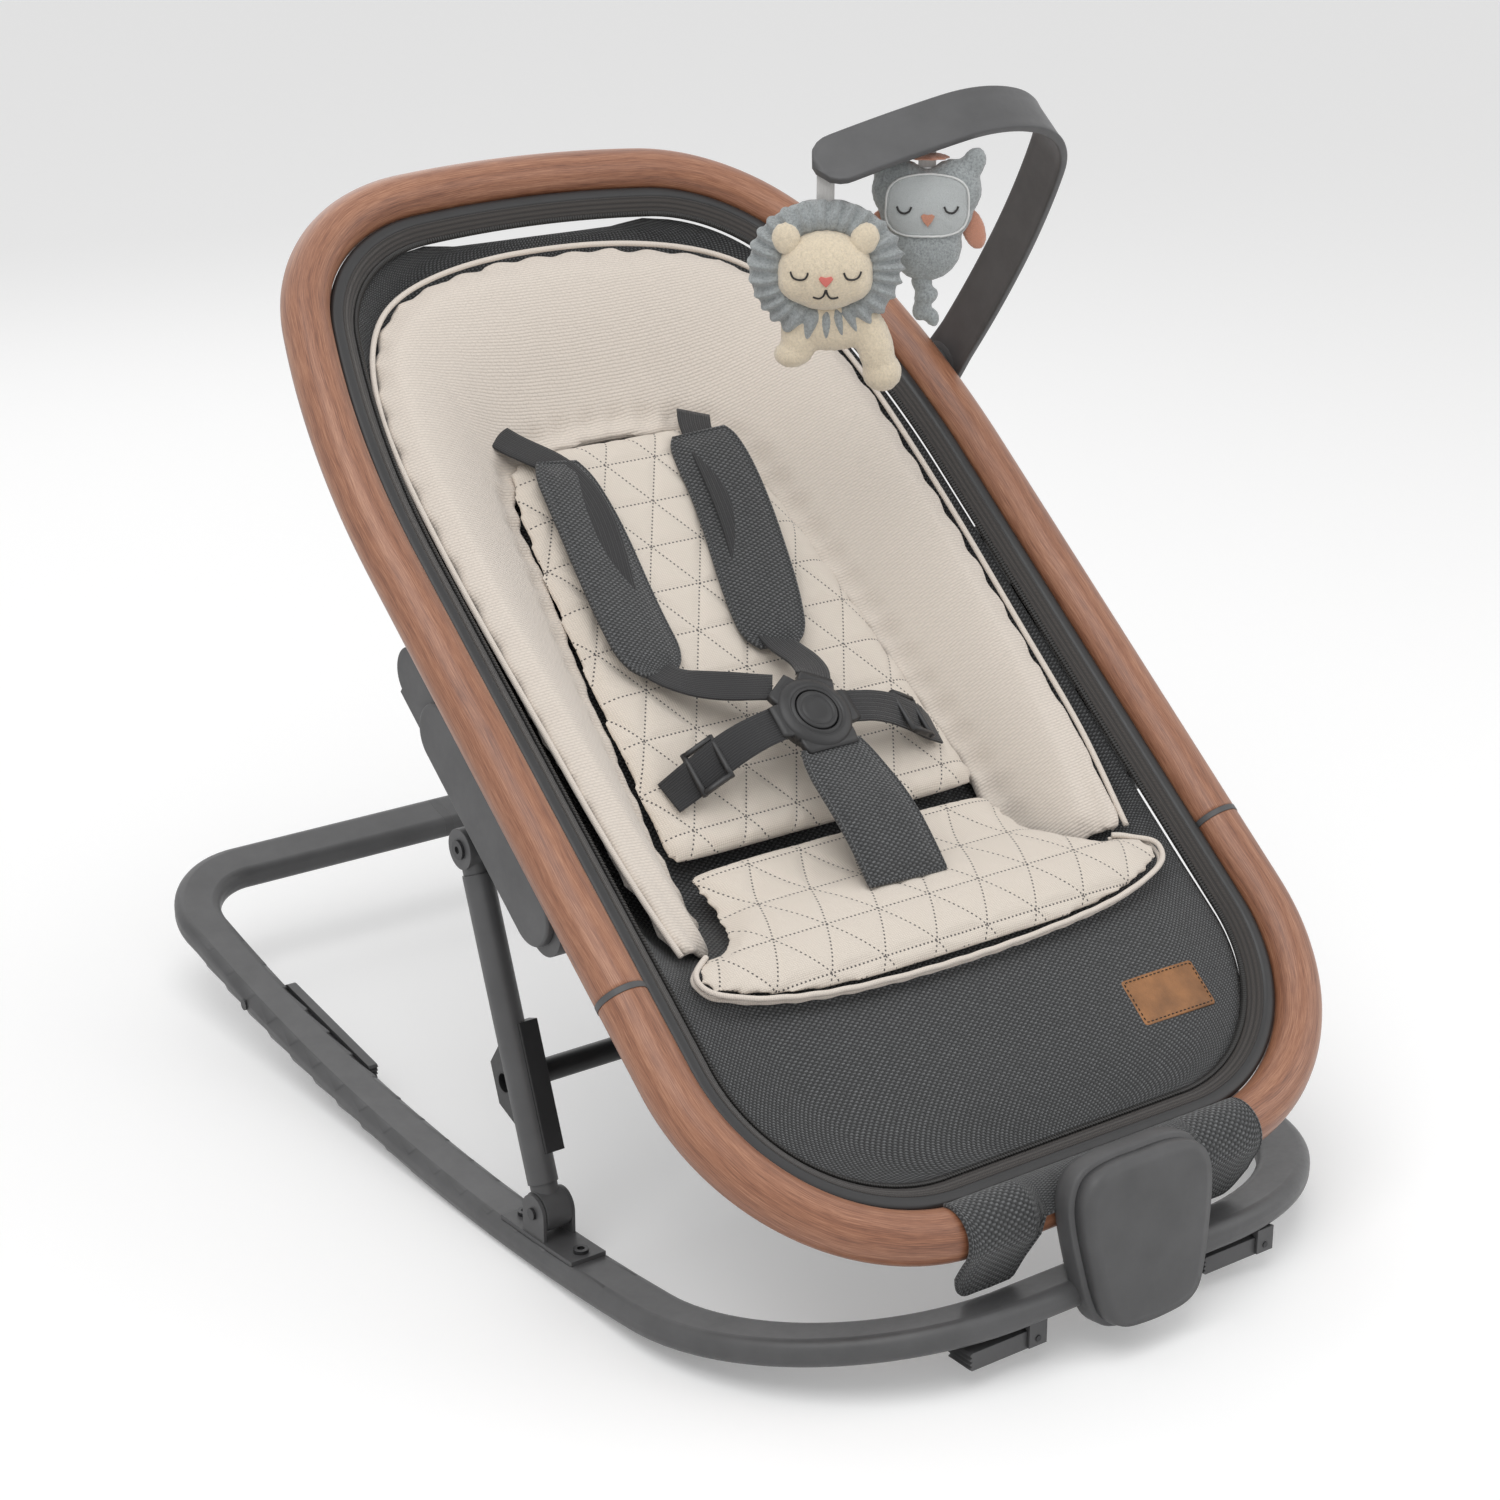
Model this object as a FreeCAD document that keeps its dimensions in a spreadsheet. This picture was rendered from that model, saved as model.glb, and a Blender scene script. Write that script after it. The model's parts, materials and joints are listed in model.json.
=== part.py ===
"""Bouncer seat: a rocker base, a reclining oval seat frame, its soft goods and a toy bar.

Frame: origin on the floor under the middle of the object, +X to the right as seen
from the front, +Y back towards the head end, +Z up.  Millimetres and degrees.
"""
import FreeCAD, Part
import math
import os
import re

Vector = FreeCAD.Vector
Placement = FreeCAD.Placement
Rotation = FreeCAD.Rotation

# ---------------------------------------------------------------- driving sizes
SIZES = (
    ("floor_middle", 398.0, "front bar centre line to the middle of the object"),
    ("rail_half_span", 240.0, "half distance between the rocker rails"),
    ("loop_length", 808.0, "front bar centre line to rear bar centre line"),
    ("loop_front_bend", 157.0, "centre line radius of the front corners"),
    ("loop_rear_bend", 60.0, "centre line radius of the rear corners"),
    ("rocker_radius", 1686.0, "radius of the rocking arc, on the rail centre line"),
    ("rocker_low", 320.0, "front bar centre line to the lowest point of the arc"),
    ("rail_wide", 35.0, "width of the flat-oval rail"),
    ("rail_high", 18.0, "height of the flat-oval rail"),
    ("rail_round", 7.0, "rounding of the long edges of the rail"),
    ("joint_collar", 8.0, "width of the visible collar at the rear bar joint"),
    ("seat_angle", 39.2, "incline of the seat frame"),
    ("seat_front_y", 17.0, "front tube of the seat frame behind the front bar"),
    ("seat_front_up", 92.3, "front tube of the seat frame above the floor"),
    ("ring_half_span", 245.0, "half width of the seat frame, on the tube centre line"),
    ("ring_straight", 534.0, "front tube to the end of the straight sides"),
    ("ring_front_bend", 147.0, "centre line radius of the front corners"),
    ("ring_side_arc", 700.0, "radius of the gently tapering sides"),
    ("ring_side_turn", 16.0, "angle that the tapering sides turn"),
    ("ring_top_bend", 140.0, "centre line radius of the top corners"),
    ("ring_top_turn", 6.0, "half angle of the crowned top"),
    ("ring_tube", 33.0, "diameter of the seat frame tube"),
    ("ring_wall", 2.5, "wall of the seat frame tube"),
    ("ring_seam", 206.0, "front tube to the joint of the upper and lower tubes"),
    ("seam_collar", 4.0, "width of the grey joint rings"),
    ("spigot_length", 60.0, "length of the spigot inside each tube joint"),
    ("hinge_up", 65.0, "height of the hinge pin above the floor"),
    ("hinge_pin_size", 10.0, "diameter of the hinge pin"),
    ("hinge_barrel", 24.8, "diameter of the barrel of the hinge arm"),
    ("hinge_arm_wide", 44.0, "width of the hinge arm"),
    ("bracket_ear", 7.0, "thickness of the ears of the front hinge bracket"),
    ("leg_foot_y", 272.0, "front bar centre line to the lower leg pivot"),
    ("leg_foot_up", 38.0, "height of the lower leg pivot"),
    ("leg_lean", 19.9, "lean of the legs back from upright"),
    ("leg_length", 238.0, "lower pivot to upper pivot"),
    ("leg_plane", 240.0, "middle plane of the legs from the centre"),
    ("leg_tube_size", 20.0, "diameter of the leg tubes"),
    ("leg_wall", 2.0, "wall of the leg tubes"),
    ("leg_eye_size", 27.0, "diameter of the eyes at both ends of a leg"),
    ("leg_eye_wide", 18.0, "thickness of the eyes"),
    ("pivot_size", 8.0, "diameter of the leg pivot pins"),
    ("gusset_reach", 82.0, "lower leg pivot to the cross tube, along the leg"),
    ("cross_tube_size", 16.0, "diameter of the cross tube"),
    ("track_start", 262.0, "front tube to the lower end of the track"),
    ("track_long", 231.0, "length of the track"),
    ("track_wide", 37.0, "width of the track"),
    ("track_inner", 231.0, "inner face of the track from the centre"),
    ("track_outer", 246.7, "outer face of the track from the centre"),
    ("cover_long", 178.0, "length of the side cover"),
    ("cover_wide", 42.0, "width of the side cover"),
    ("cover_thick", 5.0, "thickness of the side cover"),
    ("cover_offset", 38.2, "middle of the side cover under the tube centre line"),
    ("slide_travel", 50.0, "travel of the carriages along the tracks"),
    ("slot_high", 12.0, "height of the slot in the track"),
    ("stopper_long", 62.0, "length of a front stopper"),
    ("stopper_place", 96.0, "middle of a front stopper from the centre"),
    ("rear_stopper_long", 125.0, "length of a rear stopper"),
    ("rear_stopper_y", 655.0, "front bar centre line to the pivot of a rear stopper"),
    ("strap_wide", 25.0, "width of the webbing"),
    ("strap_thick", 1.8, "thickness of the webbing"),
    ("buckle_size", 58.0, "diameter of the buckle body"),
    ("bar_wide", 37.0, "width of the toy bar"),
    ("bar_thick", 6.0, "thickness of the toy bar"),
    ("bar_station", 618.0, "front tube to the pivot of the toy bar"),
    ("seat_gap", 0.3, "gap between soft or curved neighbours"),
    ("running_gap", 0.05, "radial gap of a pin in its bore"),
    ("slide_gap", 0.5, "gap of the sliding pieces"),
)

document = FreeCAD.newDocument("bouncer_seat")
sheet = document.addObject("Spreadsheet::Sheet", "Sizes")
for line, (alias, value, meaning) in enumerate(SIZES, start=1):
    sheet.set("A%d" % line, meaning)
    sheet.set("B%d" % line, str(value))
    sheet.setAlias("B%d" % line, alias)
document.recompute()
NAMES = {alias for alias, value, meaning in SIZES}
SIDES = (("left", -1), ("right", 1))
NODES = []


def size(alias):
    """Value of one driving size."""
    return float(sheet.get(alias))


def rule(text):
    """Expression on the sheet: each alias in the text gets the sheet's name before it."""
    return re.sub(r"[a-z_]+", lambda word: "Sizes." + word[0] if word[0] in NAMES else word[0], text)


def bind(item, **rules):
    """Bind properties of an object to expressions on the sheet."""
    for name, text in rules.items():
        item.setExpression(name.replace("__", "."), rule(text))
    return item


def node(item, label):
    """Register an object as a sub-part."""
    item.Label = label
    NODES.append(item)
    return item


def solid(label, shape, placement=None):
    """A sub-part whose shape is worked out in this file."""
    item = document.addObject("Part::Feature", label)
    item.Shape = shape
    if placement:
        item.Placement = placement
    return node(item, label)


def cylinder(name, radius, height, direction, x="0", y="0", z="0"):
    """Part::Cylinder along an axis, its base point and sizes given as rules."""
    item = document.addObject("Part::Cylinder", name)
    item.Placement = Placement(Vector(), Rotation(Vector(0, 0, 1), direction))
    return bind(item, Radius=radius, Height=height, Placement__Base__x=x,
                Placement__Base__y=y, Placement__Base__z=z)


def block(name, long, wide, high, x, y, z):
    """Part::Box with its sizes and low corner given as rules."""
    item = document.addObject("Part::Box", name)
    return bind(item, Length=long, Width=wide, Height=high, Placement__Base__x=x,
                Placement__Base__y=y, Placement__Base__z=z)


def joined(name, *items):
    """Fuse of several objects."""
    item = document.addObject("Part::MultiFuse", name)
    item.Shapes = list(items)
    return item


def trimmed(name, base, tool):
    """Cut of one object by another."""
    item = document.addObject("Part::Cut", name)
    item.Base = base
    item.Tool = tool
    return item


def group(label, items, in_seat=False):
    """Several separate pieces of one kind that share a node."""
    item = document.addObject("Part::Compound", label)
    item.Links = items
    if in_seat:
        seat_placed(item)
    return node(item, label)


# ---------------------------------------------------------------- shared frames
FRONT = size("floor_middle")
SEAT_RULES = {
    "Placement__Base__y": "seat_front_y - floor_middle",
    "Placement__Base__z": "seat_front_up",
    "Placement__Rotation__Angle": "seat_angle",
}
SEAT = Placement(Vector(0, size("seat_front_y") - FRONT, size("seat_front_up")),
                 Rotation(Vector(1, 0, 0), size("seat_angle")))


def seat_placed(item):
    """Put an object drawn in the seat frame's own plane into the object's frame."""
    item.Placement = SEAT
    return bind(item, **SEAT_RULES)


def seat_solid(label, shape):
    """A computed sub-part drawn in the seat frame's own plane."""
    item = document.addObject("Part::Feature", label)
    item.Shape = shape
    seat_placed(item)
    return node(item, label)


def to_seat(point):
    """A point of the object's frame in the seat frame's own coordinates."""
    return SEAT.inverse().multVec(point)


def tube_section(centre, direction, radius):
    """Round wire for a sweep."""
    return Part.Wire([Part.makeCircle(radius, centre, direction)])


def lofted(sections):
    """Closed solid through polygons that have equal numbers of corners."""
    wires = [Part.makePolygon(points + points[:1]) for points in sections]
    return Part.makeLoft(wires, True, True)


def segment(start, end, wide, thick, across):
    """Flat bar from one point to the next, its width along the given direction."""
    along = (end - start).normalize()
    side = (across - along * across.dot(along)).normalize()
    up = side.cross(along)
    corners = [start + side * (wide / 2 * i) + up * (thick / 2 * j)
               for i, j in ((-1, -1), (1, -1), (1, 1), (-1, 1), (-1, -1))]
    return Part.Face(Part.makePolygon(corners)).extrude(end - start)


def strap(points, wide, thick, across):
    """Webbing as flat runs that overlap a little where they turn."""
    runs = []
    last = len(points) - 2
    for index, (start, end) in enumerate(zip(points, points[1:])):
        lap = (end - start).normalize() * (thick / 3)
        first_lap = lap if index > 0 else Vector()
        last_lap = lap if index < last else Vector()
        runs.append(segment(start - first_lap, end + last_lap, wide, thick, across))
    shape = runs[0]
    for run in runs[1:]:
        shape = shape.fuse(run)
    return shape.removeSplitter()


# ---------------------------------------------------------------- rocker base
RAIL_W = size("rail_wide")
RAIL_H = size("rail_high")
ARC_UP = size("rocker_radius") + RAIL_H / 2
ARC_Y = size("rocker_low") - FRONT


def rail_height(y):
    """Height of the rail's centre line over the floor at a place along the object."""
    return ARC_UP - math.sqrt(size("rocker_radius") ** 2 - (y - ARC_Y) ** 2)


def loop_face(offset):
    """Plan of the floor loop, its outline moved outwards by an offset."""
    half = size("rail_half_span") + offset
    front = -FRONT - offset
    rear = size("loop_length") - FRONT + offset
    bend_front = size("loop_front_bend") + offset
    bend_rear = size("loop_rear_bend") + offset
    corners = ((half - bend_front, front + bend_front, bend_front, -90),
               (half - bend_rear, rear - bend_rear, bend_rear, 0),
               (bend_rear - half, rear - bend_rear, bend_rear, 90),
               (bend_front - half, front + bend_front, bend_front, 180))
    arcs = []
    for x, y, radius, start in corners:
        points = [Vector(x + radius * math.cos(math.radians(start + turn)),
                         y + radius * math.sin(math.radians(start + turn)), 0)
                  for turn in (0, 45, 90)]
        arcs.append(Part.Arc(*points).toShape())
    edges = []
    for this, following in zip(arcs, arcs[1:] + arcs[:1]):
        edges += [this, Part.makeLine(this.Vertexes[1].Point, following.Vertexes[0].Point)]
    return Part.Face(Part.Wire(edges))


def rocker_loop():
    """The whole floor loop: its plan meets the rocking arc, its long edges rounded."""
    tall = 260.0
    band = loop_face(RAIL_W / 2).cut(loop_face(-RAIL_W / 2)).extrude(Vector(0, 0, tall))
    middle = Vector(-size("rail_half_span") * 2, ARC_Y, ARC_UP)
    span = size("rail_half_span") * 4
    outer = Part.makeCylinder(size("rocker_radius") + RAIL_H / 2, span, middle, Vector(1, 0, 0))
    inner = Part.makeCylinder(size("rocker_radius") - RAIL_H / 2, span, middle, Vector(1, 0, 0))
    loop = band.common(outer.cut(inner))
    upright = [edge for edge in loop.Edges
               if abs(edge.tangentAt(edge.FirstParameter).z) < 0.9
               and edge.BoundBox.XLength + edge.BoundBox.YLength > RAIL_W]
    return loop.makeFillet(size("rail_round"), upright)


loop = rocker_loop()
WIDE = size("rail_half_span") * 2
LONG = size("loop_length") * 2
COLLAR = size("joint_collar") / 2
GAP = size("seat_gap")
rear_cut = Part.makeBox(COLLAR * 2, LONG, WIDE, Vector(-COLLAR, 0, 0))
collar_shape = loop.common(rear_cut)
rear_stopper_z = rail_height(size("rear_stopper_y") - FRONT)
PIN = size("pivot_size") / 2
half = Part.makeBox(WIDE, LONG, WIDE, Vector(0, -LONG / 2, 0))
hole = Part.makeCylinder(PIN / 2, WIDE, Vector(0, size("rear_stopper_y") - FRONT, rear_stopper_z), Vector(1, 0, 0))
rocker_tube = loop.common(half).cut(rear_cut).cut(hole)
for side, sign in SIDES:
    solid("rocker_tube_" + side, rocker_tube if sign > 0 else rocker_tube.mirror(Vector(), Vector(1, 0, 0)))
solid("rear_bar_joint", collar_shape)

# front hinge bracket: two ears on a foot that follows the top of the bar
HINGE_Z = size("hinge_up")
HINGE_Y = -FRONT
ARM_W = size("hinge_arm_wide")
EAR = size("bracket_ear")
EAR_X = ARM_W / 2 + size("slide_gap")
HINGE_R = size("hinge_pin_size") / 2
BARREL_R = size("hinge_barrel") / 2


def hinge_bracket():
    """Foot and ears, with the pin's bore through both ears."""
    wide = (EAR_X + EAR) * 2
    foot_top = HINGE_Z - BARREL_R - size("slide_gap")
    foot = Part.makeBox(wide, RAIL_W - 4, 60, Vector(-wide / 2, HINGE_Y - RAIL_W / 2 + 2, foot_top - 60))
    shape = foot
    for sign in (-1, 1):
        x = EAR_X if sign > 0 else -EAR_X - EAR
        ear = Part.makeCylinder(BARREL_R - 1, EAR, Vector(x, HINGE_Y, HINGE_Z), Vector(1, 0, 0))
        web = Part.makeBox(EAR, (BARREL_R - 1) * 2, HINGE_Z - foot_top + 1,
                           Vector(x, HINGE_Y - BARREL_R + 1, foot_top - 1))
        shape = shape.fuse(ear).fuse(web)
    pin_bore = Part.makeCylinder(HINGE_R, wide, Vector(-wide / 2, HINGE_Y, HINGE_Z), Vector(1, 0, 0))
    below = Part.makeCylinder(size("rocker_radius") - RAIL_H / 2, WIDE,
                              Vector(-WIDE / 2, ARC_Y, ARC_UP), Vector(1, 0, 0))
    return shape.common(below).cut(pin_bore)


solid("hinge_bracket", hinge_bracket())
node(cylinder("hinge_pin", "hinge_pin_size / 2", "hinge_arm_wide + 2 * slide_gap + 2 * bracket_ear + 4",
              Vector(1, 0, 0), "-hinge_arm_wide / 2 - slide_gap - bracket_ear - 2",
              "-floor_middle", "hinge_up"), "hinge_pin")

# leg brackets: a plate along the rail's top and two ears each side of the leg's lower eye
FOOT_Y = size("leg_foot_y") - FRONT
FOOT_Z = size("leg_foot_up")
EYE_W = size("leg_eye_wide")
EYE_R = size("leg_eye_size") / 2
PLATE_LONG = 84.0
PLATE_WIDE = 26.0
PLATE_THICK = 3.0
EAR_THIN = 2.5


def leg_bracket(sign):
    """Plate and ears of one leg bracket, with the pin's bore."""
    x = sign * size("leg_plane")
    top = Part.makeCylinder(size("rocker_radius") - RAIL_H / 2, WIDE,
                            Vector(x - WIDE / 2, ARC_Y, ARC_UP), Vector(1, 0, 0))
    above = Part.makeCylinder(size("rocker_radius") - RAIL_H / 2 - PLATE_THICK, WIDE,
                              Vector(x - WIDE / 2, ARC_Y, ARC_UP), Vector(1, 0, 0))
    plate_box = Part.makeBox(PLATE_WIDE, PLATE_LONG, 40, Vector(x - PLATE_WIDE / 2, FOOT_Y - 46, 0))
    shape = plate_box.common(top).cut(above)
    for step in (-1, 1):
        low = x + step * (EYE_W / 2 + size("slide_gap")) - (EAR_THIN if step < 0 else 0)
        ear = Part.makeCylinder(EYE_R - 1, EAR_THIN, Vector(low, FOOT_Y, FOOT_Z), Vector(1, 0, 0))
        web = Part.makeBox(EAR_THIN, 2 * EYE_R - 2, FOOT_Z, Vector(low, FOOT_Y - EYE_R + 1, 0)).common(top)
        shape = shape.fuse(ear.common(top)).fuse(web)
    bore = Part.makeCylinder(PIN, 60, Vector(x - 30, FOOT_Y, FOOT_Z), Vector(1, 0, 0))
    return shape.cut(bore).removeSplitter()


screw_solids = []
brackets = []
pin_rules = []
for side, sign in SIDES:
    brackets.append(leg_bracket(sign))
    for place in (-37, 29):
        y = FOOT_Y + place
        z = rail_height(y) + RAIL_H / 2 + PLATE_THICK
        head = Part.makeCylinder(5, 2.5, Vector(sign * size("leg_plane"), y, z + GAP))
        socket = Part.makeCylinder(2.5, 2, Vector(sign * size("leg_plane"), y, z + 1))
        screw_solids.append(head.cut(socket))
    pin_rules.append(cylinder(
        "leg_foot_pin_" + side, "pivot_size / 2", "leg_eye_wide + 2 * slide_gap + 9", Vector(1, 0, 0),
        "%d * leg_plane - leg_eye_wide / 2 - slide_gap - 4.5" % sign, "leg_foot_y - floor_middle", "leg_foot_up"))
solid("leg_brackets", Part.makeCompound(brackets))
solid("bracket_screws", Part.makeCompound(screw_solids))
group("leg_foot_pins", pin_rules)

# stoppers that flip down from the front bar and the rails
FLIP_UP = 6.0
STOP_X = size("stopper_place")
STOP_LONG = size("stopper_long")
STOP_WIDE = 20.0
STOP_HIGH = 12.0
CLIP_THIN = 2.0
bar_under = rail_height(HINGE_Y) - RAIL_H / 2
STOP_PIN_Z = bar_under - 9.5


def serrated(long, high, tooth, count):
    """Side view of a stopper lying along +X from its pivot: round nose, toothed tip."""
    radius = high / 2
    points = [Vector(0, 0, radius), Vector(long, 0, radius)]
    for index in range(count):
        z = radius - (index + 0.5) * high / count
        points += [Vector(long + tooth, 0, z), Vector(long, 0, z - high / count / 2)]
    points += [Vector(0, 0, -radius)]
    nose = Part.Arc(Vector(0, 0, -radius), Vector(-radius, 0, 0), Vector(0, 0, radius)).toShape()
    return Part.Face(Part.Wire(Part.makePolygon(points).Edges + [nose]))


def front_stopper():
    """Stopper body about its own pivot, tip towards -X."""
    face = serrated(STOP_LONG - STOP_HIGH, STOP_HIGH, 2.0, 4)
    body = face.extrude(Vector(0, STOP_WIDE, 0)).translated(Vector(0, -STOP_WIDE / 2, 0))
    body = body.mirror(Vector(), Vector(1, 0, 0))
    bore = Part.makeCylinder(2 + size("running_gap"), STOP_WIDE, Vector(0, -STOP_WIDE / 2, 0), Vector(0, 1, 0))
    return body.cut(bore)


clip_solids = []
stop_pins = []
under_bar = Part.makeCylinder(size("rocker_radius") + RAIL_H / 2, WIDE * 2,
                              Vector(-WIDE, ARC_Y, ARC_UP), Vector(1, 0, 0))
for side, sign in SIDES:
    pivot = Vector(sign * STOP_X + STOP_LONG / 2 - 8, HINGE_Y, STOP_PIN_Z)
    solid("front_stopper_" + side, front_stopper(), Placement(pivot, Rotation()))
    clip = None
    for step in (-1, 1):
        low = step * (STOP_WIDE / 2 + size("seat_gap")) - (CLIP_THIN if step < 0 else 0)
        ear = Part.makeBox(14, CLIP_THIN, 24, pivot + Vector(-7, low, -5))
        clip = ear if clip is None else clip.fuse(ear)
    bridge = Part.makeBox(14, STOP_WIDE, 12, pivot + Vector(-7, -STOP_WIDE / 2, STOP_HIGH / 2 + 0.5))
    clip = clip.fuse(bridge).cut(under_bar)
    clip = clip.cut(Part.makeCylinder(2, 60, pivot - Vector(0, 30, 0), Vector(0, 1, 0)))
    clip_solids.append(clip)
    stop_pins.append(Part.makeCylinder(2, STOP_WIDE + 2 * CLIP_THIN + 2, pivot - Vector(0, STOP_WIDE / 2 + 3, 0),
                                       Vector(0, 1, 0)))
solid("front_stopper_clips", Part.makeCompound(clip_solids))
solid("front_stopper_pins", Part.makeCompound(stop_pins))

rear_pins = []
REAR_THICK = 7.0
REAR_HIGH = 12.0
REAR_Y = size("rear_stopper_y") - FRONT
for side, sign in SIDES:
    inner = size("rail_half_span") - RAIL_W / 2 - size("seat_gap") - REAR_THICK
    lever = serrated(size("rear_stopper_long") - REAR_HIGH / 2, REAR_HIGH, 2.0, 4)
    body = lever.extrude(Vector(0, REAR_THICK, 0)).translated(Vector(0, -REAR_THICK / 2, 0))
    body = body.cut(Part.makeCylinder(PIN / 2 + size("running_gap"), REAR_THICK * 2, Vector(0, -REAR_THICK, 0),
                                      Vector(0, 1, 0)))
    tip_drop = rail_height(REAR_Y) - rail_height(REAR_Y - size("rear_stopper_long"))
    tilt = math.degrees(math.asin(tip_drop / size("rear_stopper_long")))
    turn = Rotation(Vector(0, 0, 1), -90).multiply(Rotation(Vector(0, 1, 0), tilt))
    place = Vector(sign * (inner + REAR_THICK / 2), REAR_Y, rear_stopper_z)
    solid("rear_stopper_" + side, body, Placement(place, turn))
    start = sign * (inner - 1.5)
    pin = Part.makeCylinder(PIN / 2, RAIL_W + REAR_THICK + 3.2, Vector(start, REAR_Y, rear_stopper_z),
                            Vector(sign, 0, 0))
    head = Part.makeCylinder(PIN, 1.5, Vector(sign * (size("rail_half_span") + RAIL_W / 2), REAR_Y, rear_stopper_z),
                             Vector(sign, 0, 0))
    rear_pins.append(pin.fuse(head))
solid("rear_stopper_pins", Part.makeCompound(rear_pins))

# ---------------------------------------------------------------- legs
LEAN = math.radians(size("leg_lean"))
LEG_UP = Vector(0, math.sin(LEAN), math.cos(LEAN))
LEG_L = size("leg_length")
TUBE_R = size("leg_tube_size") / 2
SHOULDER = EYE_R + 4
PLUG = 18.0


def leg_point(sign, along, back=0.0):
    """A point in a leg's middle plane, measured up the leg and square to it."""
    square = Vector(0, -math.cos(LEAN), math.sin(LEAN))
    return Vector(sign * size("leg_plane"), FOOT_Y, FOOT_Z) + LEG_UP * along + square * back


def leg_eye(sign, along, towards):
    """Eye with a neck and a plug that fits inside the leg tube."""
    centre = leg_point(sign, along)
    cross = Vector(1, 0, 0)
    eye = Part.makeCylinder(EYE_R, EYE_W, centre - cross * (EYE_W / 2), cross)
    neck = Part.makeCylinder(TUBE_R - 1, SHOULDER, centre, LEG_UP * towards)
    plug = Part.makeCylinder(TUBE_R - size("leg_wall"), PLUG, centre + LEG_UP * (towards * SHOULDER),
                             LEG_UP * towards)
    bore = Part.makeCylinder(PIN + size("running_gap"), EYE_W * 2, centre - cross * EYE_W, cross)
    return eye.fuse(neck).fuse(plug).cut(bore)


CROSS_AT = size("gusset_reach")
CROSS_FORWARD = 24.0
GUSSET_THICK = 5.0
CROSS_R = size("cross_tube_size") / 2
bolts = []
leg_feet = []
leg_eyes = []
gussets = []
gusset_screws = []
for side, sign in SIDES:
    start = leg_point(sign, SHOULDER)
    long = LEG_L - 2 * SHOULDER
    outer = Part.makeCylinder(TUBE_R, long, start, LEG_UP)
    inner = Part.makeCylinder(TUBE_R - size("leg_wall"), long, start, LEG_UP)
    solid("leg_tube_" + side, outer.cut(inner))
    leg_feet.append(leg_eye(sign, 0, 1))
    leg_eyes.append(leg_eye(sign, LEG_L, -1))
    # black gusset: a saddle on the tube, a web and the socket of the cross tube
    saddle_x = Vector(-sign * (TUBE_R + GUSSET_THICK), 0, 0)
    low = leg_point(sign, CROSS_AT - 46)
    high = leg_point(sign, CROSS_AT + 40)
    socket_at = leg_point(sign, CROSS_AT, -CROSS_FORWARD)
    profile = [low + LEG_UP * 0, leg_point(sign, CROSS_AT - 14, -CROSS_FORWARD - 12),
               leg_point(sign, CROSS_AT + 14, -CROSS_FORWARD - 12), high,
               leg_point(sign, CROSS_AT + 40, TUBE_R), leg_point(sign, CROSS_AT - 46, TUBE_R)]
    web = Part.Face(Part.makePolygon(profile + profile[:1])).extrude(saddle_x)
    socket = Part.makeCylinder(CROSS_R + 4, 26, socket_at, Vector(-sign, 0, 0))
    gusset = web.fuse(socket)
    gusset = gusset.cut(Part.makeCylinder(TUBE_R, LEG_L, leg_point(sign, 0), LEG_UP))
    gusset = gusset.cut(Part.makeCylinder(CROSS_R, 40, socket_at - Vector(sign * 0, 0, 0), Vector(-sign, 0, 0)))
    gussets.append(gusset.removeSplitter())
    screw_at = socket_at + Vector(-sign * 19, 0, 0)
    gusset_screws.append(Part.makeCylinder(3.5, 2.5, screw_at - LEG_UP.cross(Vector(1, 0, 0)) * 0
                                           + Vector(0, -(CROSS_R + 4) * math.cos(LEAN), (CROSS_R + 4) * math.sin(LEAN)),
                                           Vector(0, -math.cos(LEAN), math.sin(LEAN))))
    centre = leg_point(sign, LEG_L)
    shank = Part.makeCylinder(PIN, 30, centre + Vector(sign * EYE_W / 2, 0, 0), Vector(-sign, 0, 0))
    head = Part.makeCylinder(PIN + 2.5, 2, centre + Vector(sign * EYE_W / 2, 0, 0), Vector(sign, 0, 0))
    recess = Part.makeCylinder(2.5, 1.5, centre + Vector(sign * (EYE_W / 2 + 0.6), 0, 0), Vector(sign, 0, 0))
    bolts.append(shank.fuse(head).cut(recess))
cross_from = leg_point(-1, CROSS_AT, -CROSS_FORWARD)
cross_long = size("leg_plane") * 2
solid("cross_tube", Part.makeCylinder(CROSS_R, cross_long, cross_from, Vector(1, 0, 0)).cut(
    Part.makeCylinder(CROSS_R - 1.5, cross_long, cross_from, Vector(1, 0, 0))))
solid("leg_feet", Part.makeCompound(leg_feet))
solid("leg_eyes", Part.makeCompound(leg_eyes))
solid("gussets", Part.makeCompound(gussets))
solid("gusset_screws", Part.makeCompound(gusset_screws))
solid("hub_bolts", Part.makeCompound(bolts))

# ---------------------------------------------------------------- seat frame outline
RING_R = size("ring_tube") / 2
SIDE_TURN = math.radians(size("ring_side_turn"))
TOP_TURN = math.radians(size("ring_top_turn"))


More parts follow.
